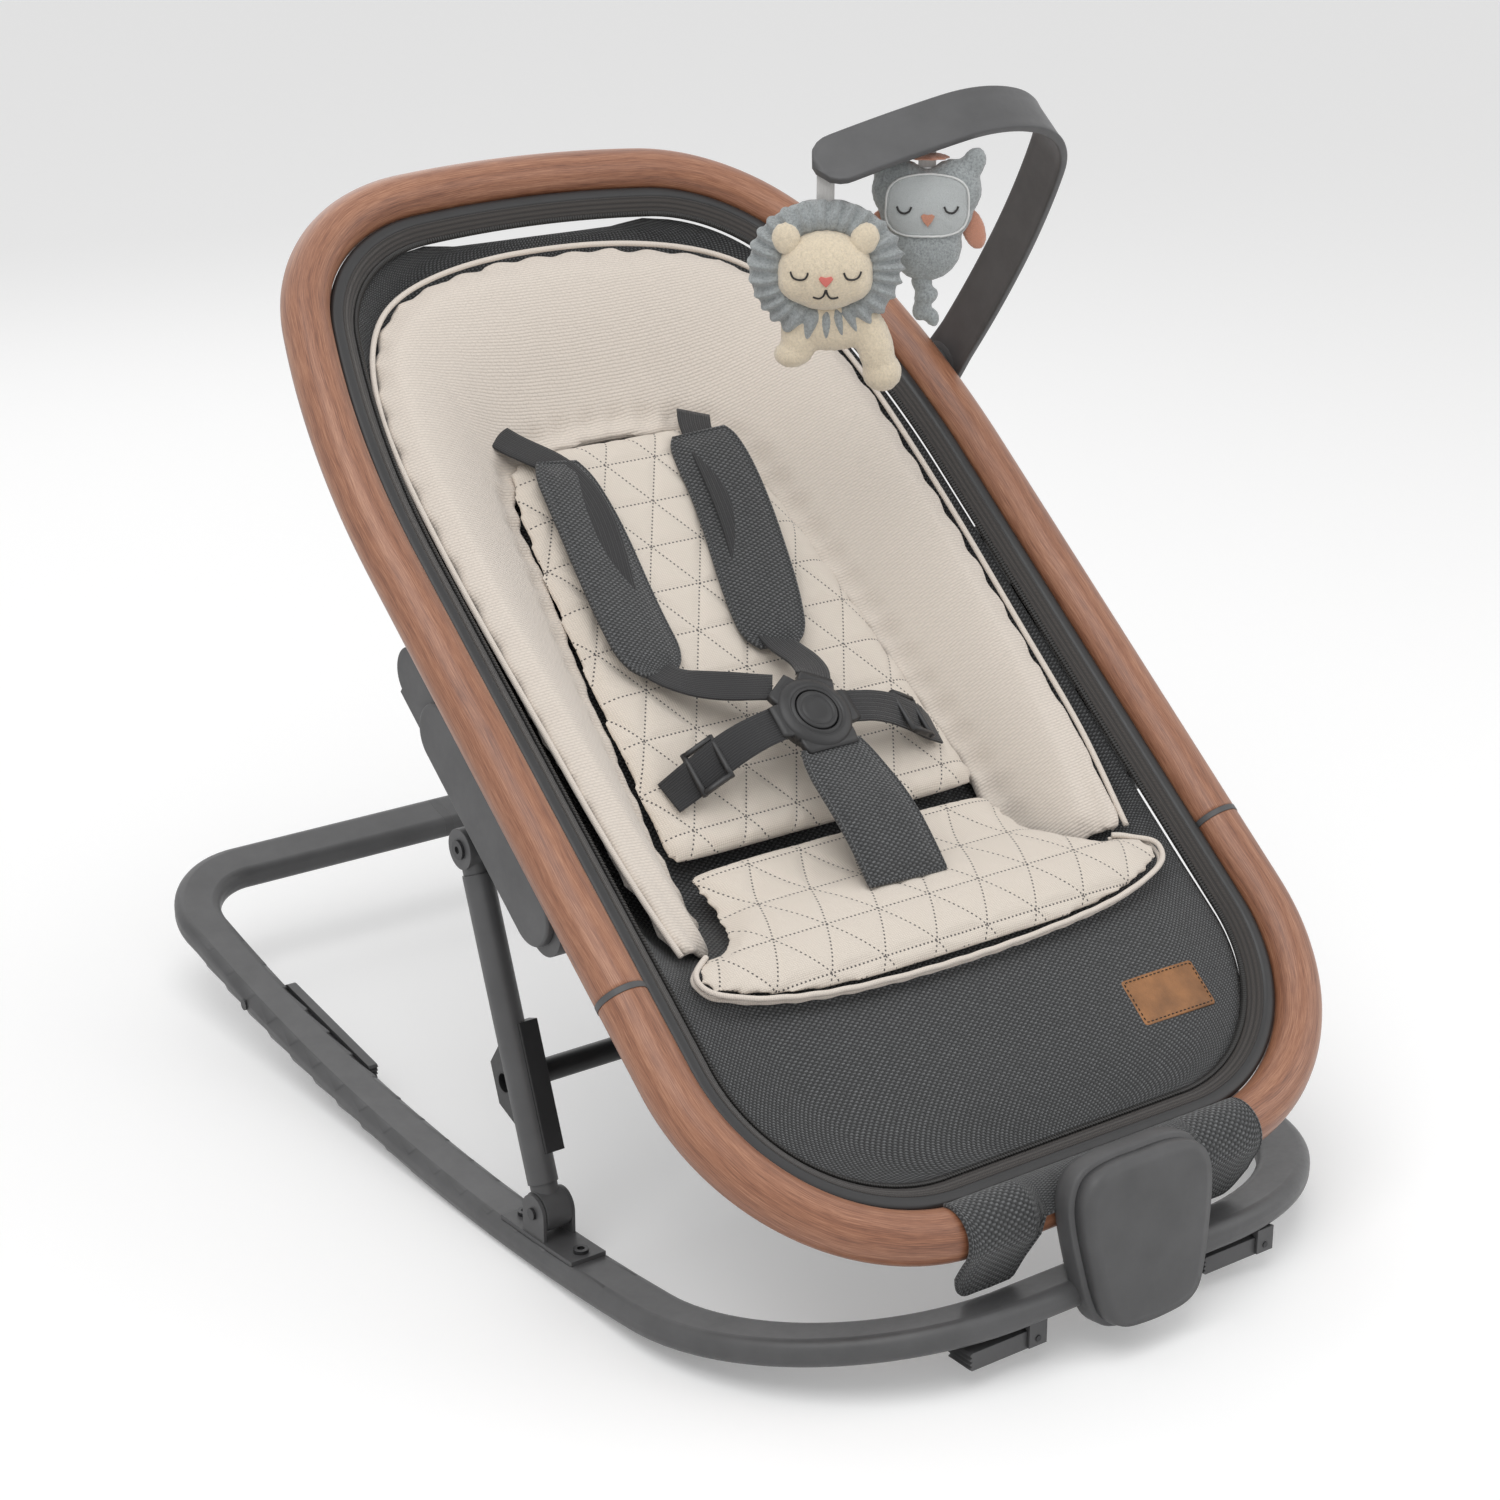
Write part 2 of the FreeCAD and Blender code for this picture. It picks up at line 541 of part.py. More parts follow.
def outline(offset):
    """Right half of the seat frame's centre line, moved inwards: points and arc middles.

    Each entry is (x, s, middle x, middle s): an arc passes through its middle point on
    the way to its end, and a straight run has none.
    """
    half = size("ring_half_span") - offset
    bend = size("ring_front_bend") - offset
    arc = size("ring_side_arc") - offset
    top = size("ring_top_bend") - offset
    rows = [(0.0, offset, None, None), (half - bend, offset, None, None)]
    root = math.sqrt(0.5)
    rows.append((half, offset + bend, half - bend + bend * root, offset + bend - bend * root))
    start = size("ring_straight")
    rows.append((half, start, None, None))
    centre_x, centre_s = half - arc, start
    turn = SIDE_TURN
    rows.append((centre_x + arc * math.cos(turn), centre_s + arc * math.sin(turn),
                 centre_x + arc * math.cos(turn / 2), centre_s + arc * math.sin(turn / 2)))
    centre_x += (arc - top) * math.cos(turn)
    centre_s += (arc - top) * math.sin(turn)
    end = math.pi / 2 - TOP_TURN
    middle = (turn + end) / 2
    rows.append((centre_x + top * math.cos(end), centre_s + top * math.sin(end),
                 centre_x + top * math.cos(middle), centre_s + top * math.sin(middle)))
    last_x, last_s = rows[-1][:2]
    crown = last_x / math.sin(TOP_TURN)
    middle = math.pi / 2 - TOP_TURN / 2
    crown_s = last_s - crown * math.cos(TOP_TURN)
    rows.append((0.0, crown_s + crown, crown * math.cos(middle), crown_s + crown * math.sin(middle)))
    return rows


def outline_edges(rows):
    """Edges through outline rows, in order."""
    edges = []
    for this, following in zip(rows, rows[1:]):
        start = Vector(this[0], this[1], 0)
        end = Vector(following[0], following[1], 0)
        if following[2] is None:
            edges.append(Part.makeLine(start, end))
        else:
            edges.append(Part.Arc(start, Vector(following[2], following[3], 0), end).toShape())
    return edges


def mirrored(rows):
    """The same rows on the left half, in reverse order."""
    flipped = [(-x, s_along, None if mx is None else -mx, ms) for x, s_along, mx, ms in rows]
    result = []
    for index in range(len(flipped) - 1, -1, -1):
        following = flipped[index + 1] if index + 1 < len(flipped) else (0, 0, None, None)
        result.append((flipped[index][0], flipped[index][1], following[2], following[3]))
    return result


def outline_face(offset):
    """Face inside the outline."""
    rows = outline(offset)
    return Part.Face(Part.Wire(outline_edges(rows) + outline_edges(mirrored(rows))))


def half_width(station, offset):
    """Half width of the outline at a distance from the front tube."""
    half = size("ring_half_span") - offset
    bend = size("ring_front_bend") - offset
    front_centre = size("ring_front_bend")
    if station < front_centre:
        rest = bend ** 2 - (front_centre - station) ** 2
        return half - bend + math.sqrt(max(rest, 0.0))
    start = size("ring_straight")
    if station < start:
        return half
    rows = outline(offset)
    arc = size("ring_side_arc") - offset
    if station < rows[4][1]:
        return half - arc + math.sqrt(arc ** 2 - (station - start) ** 2)
    top = size("ring_top_bend") - offset
    centre_x = rows[4][0] - top * math.cos(SIDE_TURN)
    centre_s = rows[4][1] - top * math.sin(SIDE_TURN)
    return centre_x + math.sqrt(max(top ** 2 - (station - centre_s) ** 2, 0.0))


SEAM = size("ring_seam")
SEAM_GAP = size("seam_collar") / 2
rows = outline(0.0)
upper_rows = [(rows[2][0], SEAM + SEAM_GAP, None, None)] + rows[3:]
lower_rows = rows[:3] + [(rows[2][0], SEAM - SEAM_GAP, None, None)]


def ring_piece(edges, start, direction):
    """Hollow tube along the given centre line."""
    path = Part.Wire(edges)
    outer = path.makePipeShell([tube_section(start, direction, RING_R)], True, False)
    inner = path.makePipeShell([tube_section(start, direction, RING_R - size("ring_wall"))], True, False)
    return outer.cut(inner), outer


upper_start = Vector(upper_rows[0][0], upper_rows[0][1], 0)
upper_path = outline_edges(upper_rows) + outline_edges(mirrored(upper_rows))
lower_start = Vector(-lower_rows[-1][0], lower_rows[-1][1], 0)
lower_path = outline_edges(mirrored(lower_rows)) + outline_edges(lower_rows)
upper_tube, upper_solid = ring_piece(upper_path, upper_start, Vector(0, 1, 0))
lower_tube, lower_solid = ring_piece(lower_path, lower_start, Vector(0, -1, 0))
seat_solid("ring_upper", upper_tube)
seat_solid("ring_lower", lower_tube)

seam_rings = []
spigots = []
for side, sign in SIDES:
    collar = cylinder("ring_collar_" + side, "ring_tube / 2 + 0.4", "seam_collar", Vector(0, 1, 0),
                      "%d * ring_half_span" % sign, "ring_seam - seam_collar / 2")
    bore = cylinder("ring_collar_bore_" + side, "ring_tube / 2 - ring_wall", "seam_collar", Vector(0, 1, 0),
                    "%d * ring_half_span" % sign, "ring_seam - seam_collar / 2")
    seam_rings.append(trimmed("ring_collar_cut_" + side, collar, bore))
    spigots.append(cylinder("ring_spigot_" + side, "ring_tube / 2 - ring_wall", "spigot_length", Vector(0, 1, 0),
                            "%d * ring_half_span" % sign, "ring_seam - spigot_length / 2"))
group("ring_joints", seam_rings, in_seat=True)
group("ring_spigots", spigots, in_seat=True)


def hoop(offset, wide, low, high):
    """Band that follows the outline inside the seat frame."""
    face = outline_face(offset).cut(outline_face(offset + wide))
    return Part.makeCompound([face.extrude(Vector(0, 0, high - low)).translated(Vector(0, 0, low))])


TRIM_WIDE = 10.0
TAPE_THICK = 3.0
TRIM_AT = RING_R + GAP
TAPE_AT = TRIM_AT + TRIM_WIDE + GAP
SLING_AT = TAPE_AT + TAPE_THICK + GAP
seat_solid("inner_trim", hoop(TRIM_AT, TRIM_WIDE, -5, 3))
seat_solid("zip_tape", hoop(TAPE_AT, TAPE_THICK, -17, 0))

# ---------------------------------------------------------------- hinge arm and front cover
hinge_local = to_seat(Vector(0, HINGE_Y, HINGE_Z))


def hinge_arm():
    """Barrel on the hinge pin and an arm up to a saddle on the front tube."""
    start = hinge_local - Vector(ARM_W / 2, 0, 0)
    barrel = Part.makeCylinder(BARREL_R, ARM_W, start, Vector(1, 0, 0))
    to_tube = Vector(0, 0, 0) - hinge_local
    side = Vector(1, 0, 0).cross(to_tube).normalize() * 9
    corners = [start + side, start - side, start - side + to_tube, start + side + to_tube]
    web = Part.Face(Part.makePolygon(corners + corners[:1])).extrude(Vector(ARM_W, 0, 0))
    bore = Part.makeCylinder(HINGE_R + size("running_gap"), ARM_W, start, Vector(1, 0, 0))
    pad = Part.makeBox(2 * BOSS_HALF, 16, BOSS_BACK + COVER_DEEP - COVER_WALL, Vector(-BOSS_HALF, 41, -BOSS_BACK))
    pad = pad.transformGeometry(SEAT.inverse().multiply(cover_place()).toMatrix())
    return barrel.fuse(web).fuse(pad).cut(lower_solid).cut(bore)



COVER_TOP = Vector(0, 0 - FRONT - 9, 127)
COVER_LOW = Vector(0, 0 - FRONT - 23, 17)
COVER_DEEP = 10.0
COVER_WALL = 4.0
BOSS_HALF = 15.0
BOSS_BACK = 12.0
COVER_RIM = 4.0
RING_BAND = 6.0


def shield(inset):
    """Outline of the front cover in its own plane: wide top, narrow round bottom."""
    high = (COVER_TOP - COVER_LOW).Length
    top, mid, low = 47 - inset, 55 - inset, 34 - inset
    right = [(top, high - inset), (mid, high - 24), (mid - 5, 34), (low, 4 + inset)]
    left = [(-x, y) for x, y in reversed(right)]
    points = [Vector(x, y, 0) for x, y in right + left]
    face = Part.Face(Part.makePolygon(points + points[:1]))
    return face


def cover_place():
    """Placement of the cover's plane: x across, y up the face, z outwards."""
    up = (COVER_TOP - COVER_LOW).normalize()
    across = Vector(1, 0, 0)
    return Placement(COVER_LOW, Rotation(across, up, across.cross(up), "XYZ"))


def rounded(shape, radius, low, high):
    """Fillet the edges that run through a solid's thickness."""
    edges = [edge for edge in shape.Edges
             if abs(edge.BoundBox.ZLength - (high - low)) < 1e-6 and edge.BoundBox.XLength < 1e-6]
    return shape.makeFillet(radius, edges)


def front_cover():
    """Hollow cover with a groove for the pale ring."""
    body = rounded(shield(0).extrude(Vector(0, 0, COVER_DEEP)), 14, 0, COVER_DEEP)
    hollow = rounded(shield(COVER_RIM).extrude(Vector(0, 0, COVER_DEEP - COVER_WALL)), 10, 0, COVER_DEEP - COVER_WALL)
    ring = cover_ring_shape(0.0)
    return body.cut(hollow).cut(ring)


def cover_ring_shape(clear):
    """Pale ring set into the cover's face."""
    outer = rounded(shield(9).extrude(Vector(0, 0, 3)), 14, 0, 3)
    inner = rounded(shield(9 + RING_BAND).extrude(Vector(0, 0, 3)), 10, 0, 3)
    return outer.cut(inner).translated(Vector(0, 0, COVER_DEEP - 2 + clear))


turned = cover_place()
seat_solid("hinge_arm", hinge_arm())
solid("front_cover", front_cover(), turned)
solid("cover_ring", cover_ring_shape(0.0).common(Part.makeBox(200, 200, 2.6, Vector(-100, -20, COVER_DEEP - 2))),
      turned)

# ---------------------------------------------------------------- tracks and carriages
HUB = to_seat(leg_point(1, LEG_L))
TRACK_IN = size("track_inner")
TRACK_OUT = size("track_outer")
COVER_MID = size("cover_offset")
COVER_R = size("cover_wide") / 2
TRACK_R = size("track_wide") / 2
COVER_LONG = size("cover_long")
TRACK_MID = COVER_MID


def capsule(start, end, radius, level, low, high):
    """Long plate with round ends, in a plane square to X."""
    straight = Part.makeBox(high - low, end - start - 2 * radius, 2 * radius,
                            Vector(low, start + radius, level - radius))
    first = Part.makeCylinder(radius, high - low, Vector(low, start + radius, level), Vector(1, 0, 0))
    last = Part.makeCylinder(radius, high - low, Vector(low, end - radius, level), Vector(1, 0, 0))
    return straight.fuse(first).fuse(last).removeSplitter()


cover_start = size("track_start") + 9
cover_end = cover_start + COVER_LONG
neck_start = HUB.y - 24
neck_end = HUB.y + 24
SLOT_R = size("slot_high") / 2
slot_start = neck_start - size("slide_gap")
slot_end = neck_end + size("slide_travel") + size("slide_gap")
LUG_IN = size("leg_plane") - EYE_W / 2 - size("slide_gap")
PLATE = 8.0
HOLE_EXTRA = 2.2


def mirror_x(shape, sign):
    """The piece as drawn on the right side, or its mirror image on the left."""
    return shape if sign > 0 else shape.mirror(Vector(), Vector(1, 0, 0))


def track():
    """Track with a long slot, hung close under the seat frame's tube."""
    body = capsule(size("track_start"), size("track_start") + size("track_long"), TRACK_R, -TRACK_MID,
                   TRACK_IN, TRACK_OUT)
    bridge = Part.makeBox(TRACK_OUT - TRACK_IN - 3, size("track_long") - 60, 22,
                          Vector(TRACK_IN, size("track_start") + 30, -TRACK_MID + TRACK_R - 14))
    slot = capsule(slot_start, slot_end, SLOT_R + size("slide_gap"), -TRACK_MID, TRACK_IN - 1, TRACK_OUT + 1)
    lip = Part.makeBox(3, 90, 4, Vector(TRACK_OUT - 3, size("track_start") + 125, -TRACK_MID - TRACK_R - 3))
    return body.fuse(bridge).fuse(lip).cut(upper_solid).cut(slot).removeSplitter()


def carriage():
    """Plate on the inner side of the track, a neck through its slot and a lug to the leg's bolt."""
    inner = LUG_IN - PLATE
    face = min(LUG_IN, TRACK_IN - size("slide_gap"))
    plate = capsule(neck_start - 14, neck_end + 14, 19, -TRACK_MID - 3, inner, face)
    lug = Part.makeBox(PLATE, 30, -HUB.z - TRACK_MID, Vector(inner, HUB.y - 15, HUB.z))
    nose = Part.makeCylinder(15, PLATE, Vector(inner, HUB.y, HUB.z), Vector(1, 0, 0))
    neck = capsule(neck_start, neck_end, SLOT_R, -TRACK_MID, face - 1, TRACK_OUT + size("seat_gap"))
    hole = Part.makeCylinder(PIN + HOLE_EXTRA, PLATE * 3, Vector(inner - PLATE, HUB.y, HUB.z), Vector(1, 0, 0))
    keep = Part.makeBox(LUG_IN - inner, 200, 200, Vector(inner, HUB.y - 100, HUB.z - 100))
    lower = lug.fuse(nose).common(keep)
    plunger_hole = Part.makeCylinder(3.1, PLATE + 2, Vector(inner - 1, HUB.y + 34, -TRACK_MID - 3), Vector(1, 0, 0))
    return plate.fuse(lower).fuse(neck).cut(hole).cut(plunger_hole).removeSplitter()


def side_cover():
    """Flat cover with rounded outer edge on the outer side of the track."""
    low = TRACK_OUT + size("seat_gap")
    body = capsule(cover_start, cover_end, COVER_R, -COVER_MID, low, low + size("cover_thick"))
    outer = [edge for edge in body.Edges if edge.BoundBox.XMin > low + size("cover_thick") - 1e-6]
    return body.makeFillet(2.0, outer)


track_screws = []
cover_screws = []
plungers = []
tracks = []
carriages = []
for side, sign in SIDES:
    tracks.append(mirror_x(track(), sign))
    carriages.append(mirror_x(carriage(), sign))
    seat_solid("side_cover_" + side, mirror_x(side_cover(), sign))
    for station in (size("track_start") + 10, size("track_start") + size("track_long") - 10):
        head = Part.makeCylinder(4, 2, Vector(TRACK_IN, station, -TRACK_MID), Vector(-1, 0, 0))
        track_screws.append(mirror_x(head, sign))
    for station in (HUB.y - 14, HUB.y + 14):
        head = Part.makeCylinder(4, 2, Vector(LUG_IN - PLATE, station, -TRACK_MID), Vector(-1, 0, 0))
        cover_screws.append(mirror_x(head, sign))
    plunger = Part.makeCylinder(3, 12, Vector(LUG_IN - PLATE - 4.5, HUB.y + 34, -TRACK_MID - 3), Vector(1, 0, 0))
    knob = Part.makeCylinder(7, 6, Vector(LUG_IN - PLATE - 10, HUB.y + 34, -TRACK_MID - 3), Vector(1, 0, 0))
    plungers.append(mirror_x(plunger.fuse(knob), sign))
seat_solid("tracks", Part.makeCompound(tracks))
seat_solid("carriages", Part.makeCompound(carriages))
seat_solid("track_screws", Part.makeCompound(track_screws))
seat_solid("cover_screws", Part.makeCompound(cover_screws))
seat_solid("lock_plungers", Part.makeCompound(plungers))

# ---------------------------------------------------------------- soft goods
SLING_THICK = 3.0


def trough(stations, thick):
    """Bowl-shaped panel: edge half width, edge level, floor half width and floor level per station."""
    sections = []
    for station, edge, edge_level, floor, floor_level in stations:
        top = [(-edge, edge_level), (-floor, floor_level), (floor, floor_level), (edge, edge_level)]
        low = [(x, level - thick) for x, level in reversed(top)]
        sections.append([Vector(x, station, level) for x, level in top + low])
    return lofted(sections)


def sling_stations():
    """Dark fabric: a crowned foot panel, a crease and a long back."""
    rows = ((36, -10, 0.6, -9), (52, -12, 0.7, -8), (80, -12, 0.75, -6), (120, -13, 0.75, -6),
            (165, -13, 0.72, -9), (195, -13, 0.7, -18), (230, -13, 0.74, -37), (262, -13, 0.76, -61),
            (300, -13, 0.76, -76), (380, -13, 0.74, -78), (520, -13, 0.72, -76), (640, -13, 0.7, -70),
            (720, -13, 0.68, -50), (770, -13, 0.7, -30), (797, -12, 0.7, -18))
    result = []
    for station, edge_level, share, level in rows:
        width = half_width(station, SLING_AT)
        result.append((station, width, edge_level, width * share, level))
    return result


seat_solid("seat_sling", trough(sling_stations(), SLING_THICK))


FLAP_HALF = 112.0
FLAP_CLOTH = 3.0
ARCH_HALF = 60.0


def front_flap():
    """Fabric over the front tube, arched clear of the front cover."""
    path = Part.Wire(lower_path)
    outer = path.makePipeShell([tube_section(lower_start, Vector(0, -1, 0), RING_R + GAP + FLAP_CLOTH)], True, False)
    inner = path.makePipeShell([tube_section(lower_start, Vector(0, -1, 0), RING_R + GAP)], True, False)
    reach = 2 * RING_R
    kept = Part.makeBox(2 * FLAP_HALF, 2 * reach, 2 * reach, Vector(-FLAP_HALF, -reach, -reach))
    under = Part.makeBox(2 * FLAP_HALF, 2 * reach, reach + 3.5, Vector(-FLAP_HALF, 1, -reach))
    arch = Part.makeBox(2 * ARCH_HALF, reach, reach + 8, Vector(-ARCH_HALF, -reach, -reach))
    return outer.cut(inner).common(kept).cut(under).cut(arch)


seat_solid("front_flap", front_flap())


def bolster_stations():
    """Newborn insert shell under the quilted pads."""
    rows = ((236, 186, -12, 138, -35), (262, 190, -13, 136, -54), (300, 194, -13, 136, -64),
            (380, 196, -13, 130, -66), (478, 199, -13, 122, -66), (560, 199, -13, 112, -65),
            (636, 194, -13, 100, -63), (662, 188, -13, 96, -54), (700, 176, -12, 90, -40),
            (738, 154, -11, 84, -24), (768, 96, -10, 60, -15))
    return rows


def insert_bolster():
    """Padded surround: thick rolled edges and a thin floor."""
    sections = []
    for station, edge, level, floor, floor_level in bolster_stations():
        inner = edge - 22
        top = [(-edge, level - 3), (-inner, level + 2), (-floor, floor_level), (floor, floor_level),
               (inner, level + 2), (edge, level - 3)]
        low = [(edge, level - 9), (floor + 5, floor_level - 5.7), (-floor - 5, floor_level - 5.7),
               (-edge, level - 9)]
        sections.append([Vector(x, station, z) for x, z in top + low])
    return lofted(sections)


seat_solid("insert_bolster", insert_bolster())


def slab(stations, thick):
    """Flat pad: half width and upper level per station."""
    sections = []
    for station, half, level in stations:
        sections.append([Vector(-half, station, level), Vector(half, station, level),
                         Vector(half, station, level - thick), Vector(-half, station, level - thick)])
    return lofted(sections)


BACK_PAD = 11.5
FLAP_THICK = 11.0
back_rows = ((306, 134, -51.5), (380, 128, -52), (478, 120, -51.5), (560, 110, -51), (632, 92, -50.8))
flap_rows = ((172, 96, 6), (180, 150, 7), (194, 184, 4), (206, 189, 0), (222, 168, -8), (234, 146, -15),
             (262, 134, -36), (296, 132, -50))
seat_solid("insert_back_pad", slab(back_rows, BACK_PAD))
seat_solid("insert_seat_flap", slab(flap_rows, FLAP_THICK))

LABEL_SLOPE = size("seat_gap")
seat_solid("leather_label", Part.makeBox(66, 36, 1.6, Vector(100, 84, -6 + LABEL_SLOPE)))

# ---------------------------------------------------------------- harness
STRAP_W = size("strap_wide")
STRAP_T = size("strap_thick")
BUCKLE = Vector(0, 366, -14)
BUCKLE_R = size("buckle_size") / 2
BUCKLE_T = 13.0
PAD_T = 13.0
ACROSS = Vector(1, 0, 0)
pad_runs = {
    "left": (Vector(-63, 614, -44), Vector(-72, 440, -44)),
    "right": (Vector(60, 618, -44), Vector(26, 440, -44)),
}
TONGUE_TURN = math.radians(32)
shoulder_pads = []
shoulder_straps = []
waist_straps = []
for side, sign in SIDES:
    top, low = pad_runs[side]
    shoulder_pads.append(segment(top, low, 54, PAD_T, ACROSS))
    down = (low - top).normalize()
    hole_end = low + down * GAP
    turn_at = low + down * 13
    bend = Vector(sign * 28, 408, -24)
    reach = BUCKLE_R + 3 * GAP
    tongue_end = BUCKLE + Vector(sign * reach * math.sin(TONGUE_TURN), reach * math.cos(TONGUE_TURN), 0)
    shoulder_straps.append(strap([hole_end, turn_at, bend, tongue_end], STRAP_W, STRAP_T, ACROSS))
    waist = [BUCKLE + Vector(sign * (BUCKLE_R + 2 * GAP), 0, 0), Vector(sign * 72, 358, -24),
             Vector(sign * 112, 348, -50.2)]
    waist_straps.append(strap(waist, STRAP_W, STRAP_T, Vector(0, 1, 0)))
seat_solid("shoulder_pads", Part.makeCompound(shoulder_pads))
seat_solid("shoulder_straps", Part.makeCompound(shoulder_straps))
seat_solid("waist_straps", Part.makeCompound(waist_straps))


BUTTON_R = 15.0
BUTTON_T = 6.0
WELL_FLOOR = 4.0
SPRING_R = 6.0
SPRING_HIGH = 3.6
SPRING_POCKET = 2.8


def buckle_body():
    """Round buckle with a well for its button."""
    body = Part.makeCylinder(BUCKLE_R, BUCKLE_T, BUCKLE - Vector(0, 0, BUCKLE_T / 2))
    well_low = BUCKLE - Vector(0, 0, BUCKLE_T / 2 - WELL_FLOOR)
    well = Part.makeCylinder(BUTTON_R + size("slide_gap"), BUCKLE_T, well_low)
    return body.cut(well)


seat_solid("buckle_body", buckle_body())
button_low = BUCKLE + Vector(0, 0, 2 * WELL_FLOOR - BUCKLE_T / 2)
button = Part.makeCylinder(BUTTON_R, BUTTON_T, button_low)
pocket = Part.makeCylinder(SPRING_R + 2 * GAP, SPRING_POCKET, button_low)
seat_solid("buckle_button", button.cut(pocket))
spring_low = button_low - Vector(0, 0, SPRING_HIGH + GAP)
spring = Part.makeCylinder(SPRING_R, SPRING_HIGH, spring_low)
seat_solid("buckle_spring", spring.cut(Part.makeCylinder(SPRING_R - 1.5, SPRING_HIGH, spring_low)))
crotch = [BUCKLE + Vector(0, -BUCKLE_R - 3 * GAP, 0), Vector(0, 300, -8), Vector(0, 236, -11.4)]
seat_solid("crotch_pad", strap(crotch, 62, 9, ACROSS))

# ---------------------------------------------------------------- toy bar and toys
BAR_S = size("bar_station")
BAR_T = size("bar_thick")
BAR_N = -8.0
TUBE_AT_BAR = half_width(BAR_S, 0.0)
BOSS_X = TUBE_AT_BAR + RING_R + 3
boss = Part.makeCylinder(14, BOSS_X - TUBE_AT_BAR, Vector(TUBE_AT_BAR, BAR_S, BAR_N), Vector(1, 0, 0))
bolt_hole = Part.makeCylinder(PIN, 80, Vector(TUBE_AT_BAR, BAR_S, BAR_N), Vector(1, 0, 0))
seat_solid("toy_bar_socket", boss.cut(upper_solid).cut(bolt_hole))
BAR_X = BOSS_X + GAP + BAR_T / 2


BAR_LEAN = 0.0
BAR_BENDS = ((950.0, 8.0), (700.0, 8.0), (72.0, 56.0), (110.0, 34.0), (900.0, 6.5))


def bar_edges(shift):
    """Arcs of the toy bar's side view, moved to one face of the strip, from root to tip."""
    heading = math.radians(BAR_LEAN)
    x, level = BAR_X, BAR_N
    edges = []
    for radius, turn in BAR_BENDS:
        centre_x = x - radius * math.cos(heading)
        centre_level = level - radius * math.sin(heading)
        reach = radius + shift
        points = [Vector(centre_x + reach * math.cos(heading + part * math.radians(turn)), BAR_S,
                         centre_level + reach * math.sin(heading + part * math.radians(turn)))
                  for part in (0, 0.5, 1)]
        edges.append(Part.Arc(*points).toShape())
        heading += math.radians(turn)
        x = centre_x + radius * math.cos(heading)
        level = centre_level + radius * math.sin(heading)
    return edges


def toy_bar():
    """Bent flat strip with a round foot on its pivot and a round tip."""
    outer = bar_edges(BAR_T / 2)
    inner = bar_edges(-BAR_T / 2)
    ends = [Part.makeLine(outer[0].Vertexes[0].Point, inner[0].Vertexes[0].Point),
            Part.makeLine(outer[-1].Vertexes[-1].Point, inner[-1].Vertexes[-1].Point)]
    face = Part.Face(Part.Wire(Part.__sortEdges__(outer + inner + ends)))
    wide = size("bar_wide")
    body = face.extrude(Vector(0, wide, 0)).translated(Vector(0, -wide / 2, 0))
    foot = Part.makeCylinder(wide / 2 + 2, BAR_T, Vector(BAR_X - BAR_T / 2, BAR_S, BAR_N), Vector(1, 0, 0))
    bore = Part.makeCylinder(PIN + size("running_gap"), 40, Vector(BAR_X - 20, BAR_S, BAR_N), Vector(1, 0, 0))
    return body.fuse(foot).cut(bore).removeSplitter()


def bar_point(station_x):
    """Lower face of the arm at a place across the seat."""
    spots = []
    for edge in bar_edges(-BAR_T / 2):
        spots += edge.discretize(24)
    return min(spots, key=lambda spot: abs(spot.x - station_x) + (300 if spot.z < 150 else 0))


seat_solid("toy_bar", toy_bar())
bar_bolt = Part.makeCylinder(PIN, BOSS_X - TUBE_AT_BAR - RING_R + BAR_T + 8,
                             Vector(TUBE_AT_BAR + RING_R, BAR_S, BAR_N), Vector(1, 0, 0))
bolt_cap = Part.makeCylinder(9, 3, Vector(BAR_X + BAR_T / 2 + size("slide_gap"), BAR_S, BAR_N), Vector(1, 0, 0))
seat_solid("toy_bar_bolt", bar_bolt.fuse(bolt_cap).cut(upper_solid))


def ellipsoid(centre, across, deep, high, yaw):
    """Plush body: a ball stretched along its own axes."""
    matrix = FreeCAD.Matrix()
    matrix.scale(across, deep, high)
    ball = Part.makeSphere(1.0).transformGeometry(matrix)
    ball.Placement = Placement(centre, Rotation(Vector(0, 0, 1), yaw))
    return ball


FACE_YAW = -36.0
RIBBON = 12.0
RIBBON_LONG = 16.0
KNOT_DROP = 4.4


def hanging(label, place, head, body, body_shift):
    """A plush toy and its ribbon, straight below a point of the toy bar's arm."""
    top = SEAT.multVec(bar_point(place))
    knot = top - Vector(0, 0, KNOT_DROP)
    ribbon = Part.makeBox(RIBBON, 1.5, RIBBON_LONG, knot - Vector(RIBBON / 2, 0.75, RIBBON_LONG))
    centre = knot - Vector(0, 0, RIBBON_LONG + head[2] - 1.5)
    skull = ellipsoid(centre, *head, FACE_YAW)
    torso = ellipsoid(centre + body_shift, *body, FACE_YAW)
    solid(label, skull.fuse(torso).cut(ribbon))
    solid(label + "_ribbon", ribbon)


LION_X = 35.0
BIRD_X = 104.0
hanging("toy_lion", LION_X, (47.0, 21.0, 45.0), (38.0, 17.0, 26.0), Vector(6, 0, -44))
hanging("toy_bird", BIRD_X, (37.0, 16.0, 44.0), (20.0, 11.0, 20.0), Vector(-6, 4, -36))

document.recompute()
broken = [item.Label for item in document.Objects if "Invalid" in item.State or "Error" in item.State]
broken += [item.Label for item in NODES if item.Shape.isNull() or not item.Shape.isValid()]
if broken:
    raise SystemExit("failed: " + ", ".join(broken))
os.makedirs("parts", exist_ok=True)
for item in NODES:
    item.Shape.exportStep("parts/%s.step" % item.Label)
print(len(NODES), "sub-parts written")
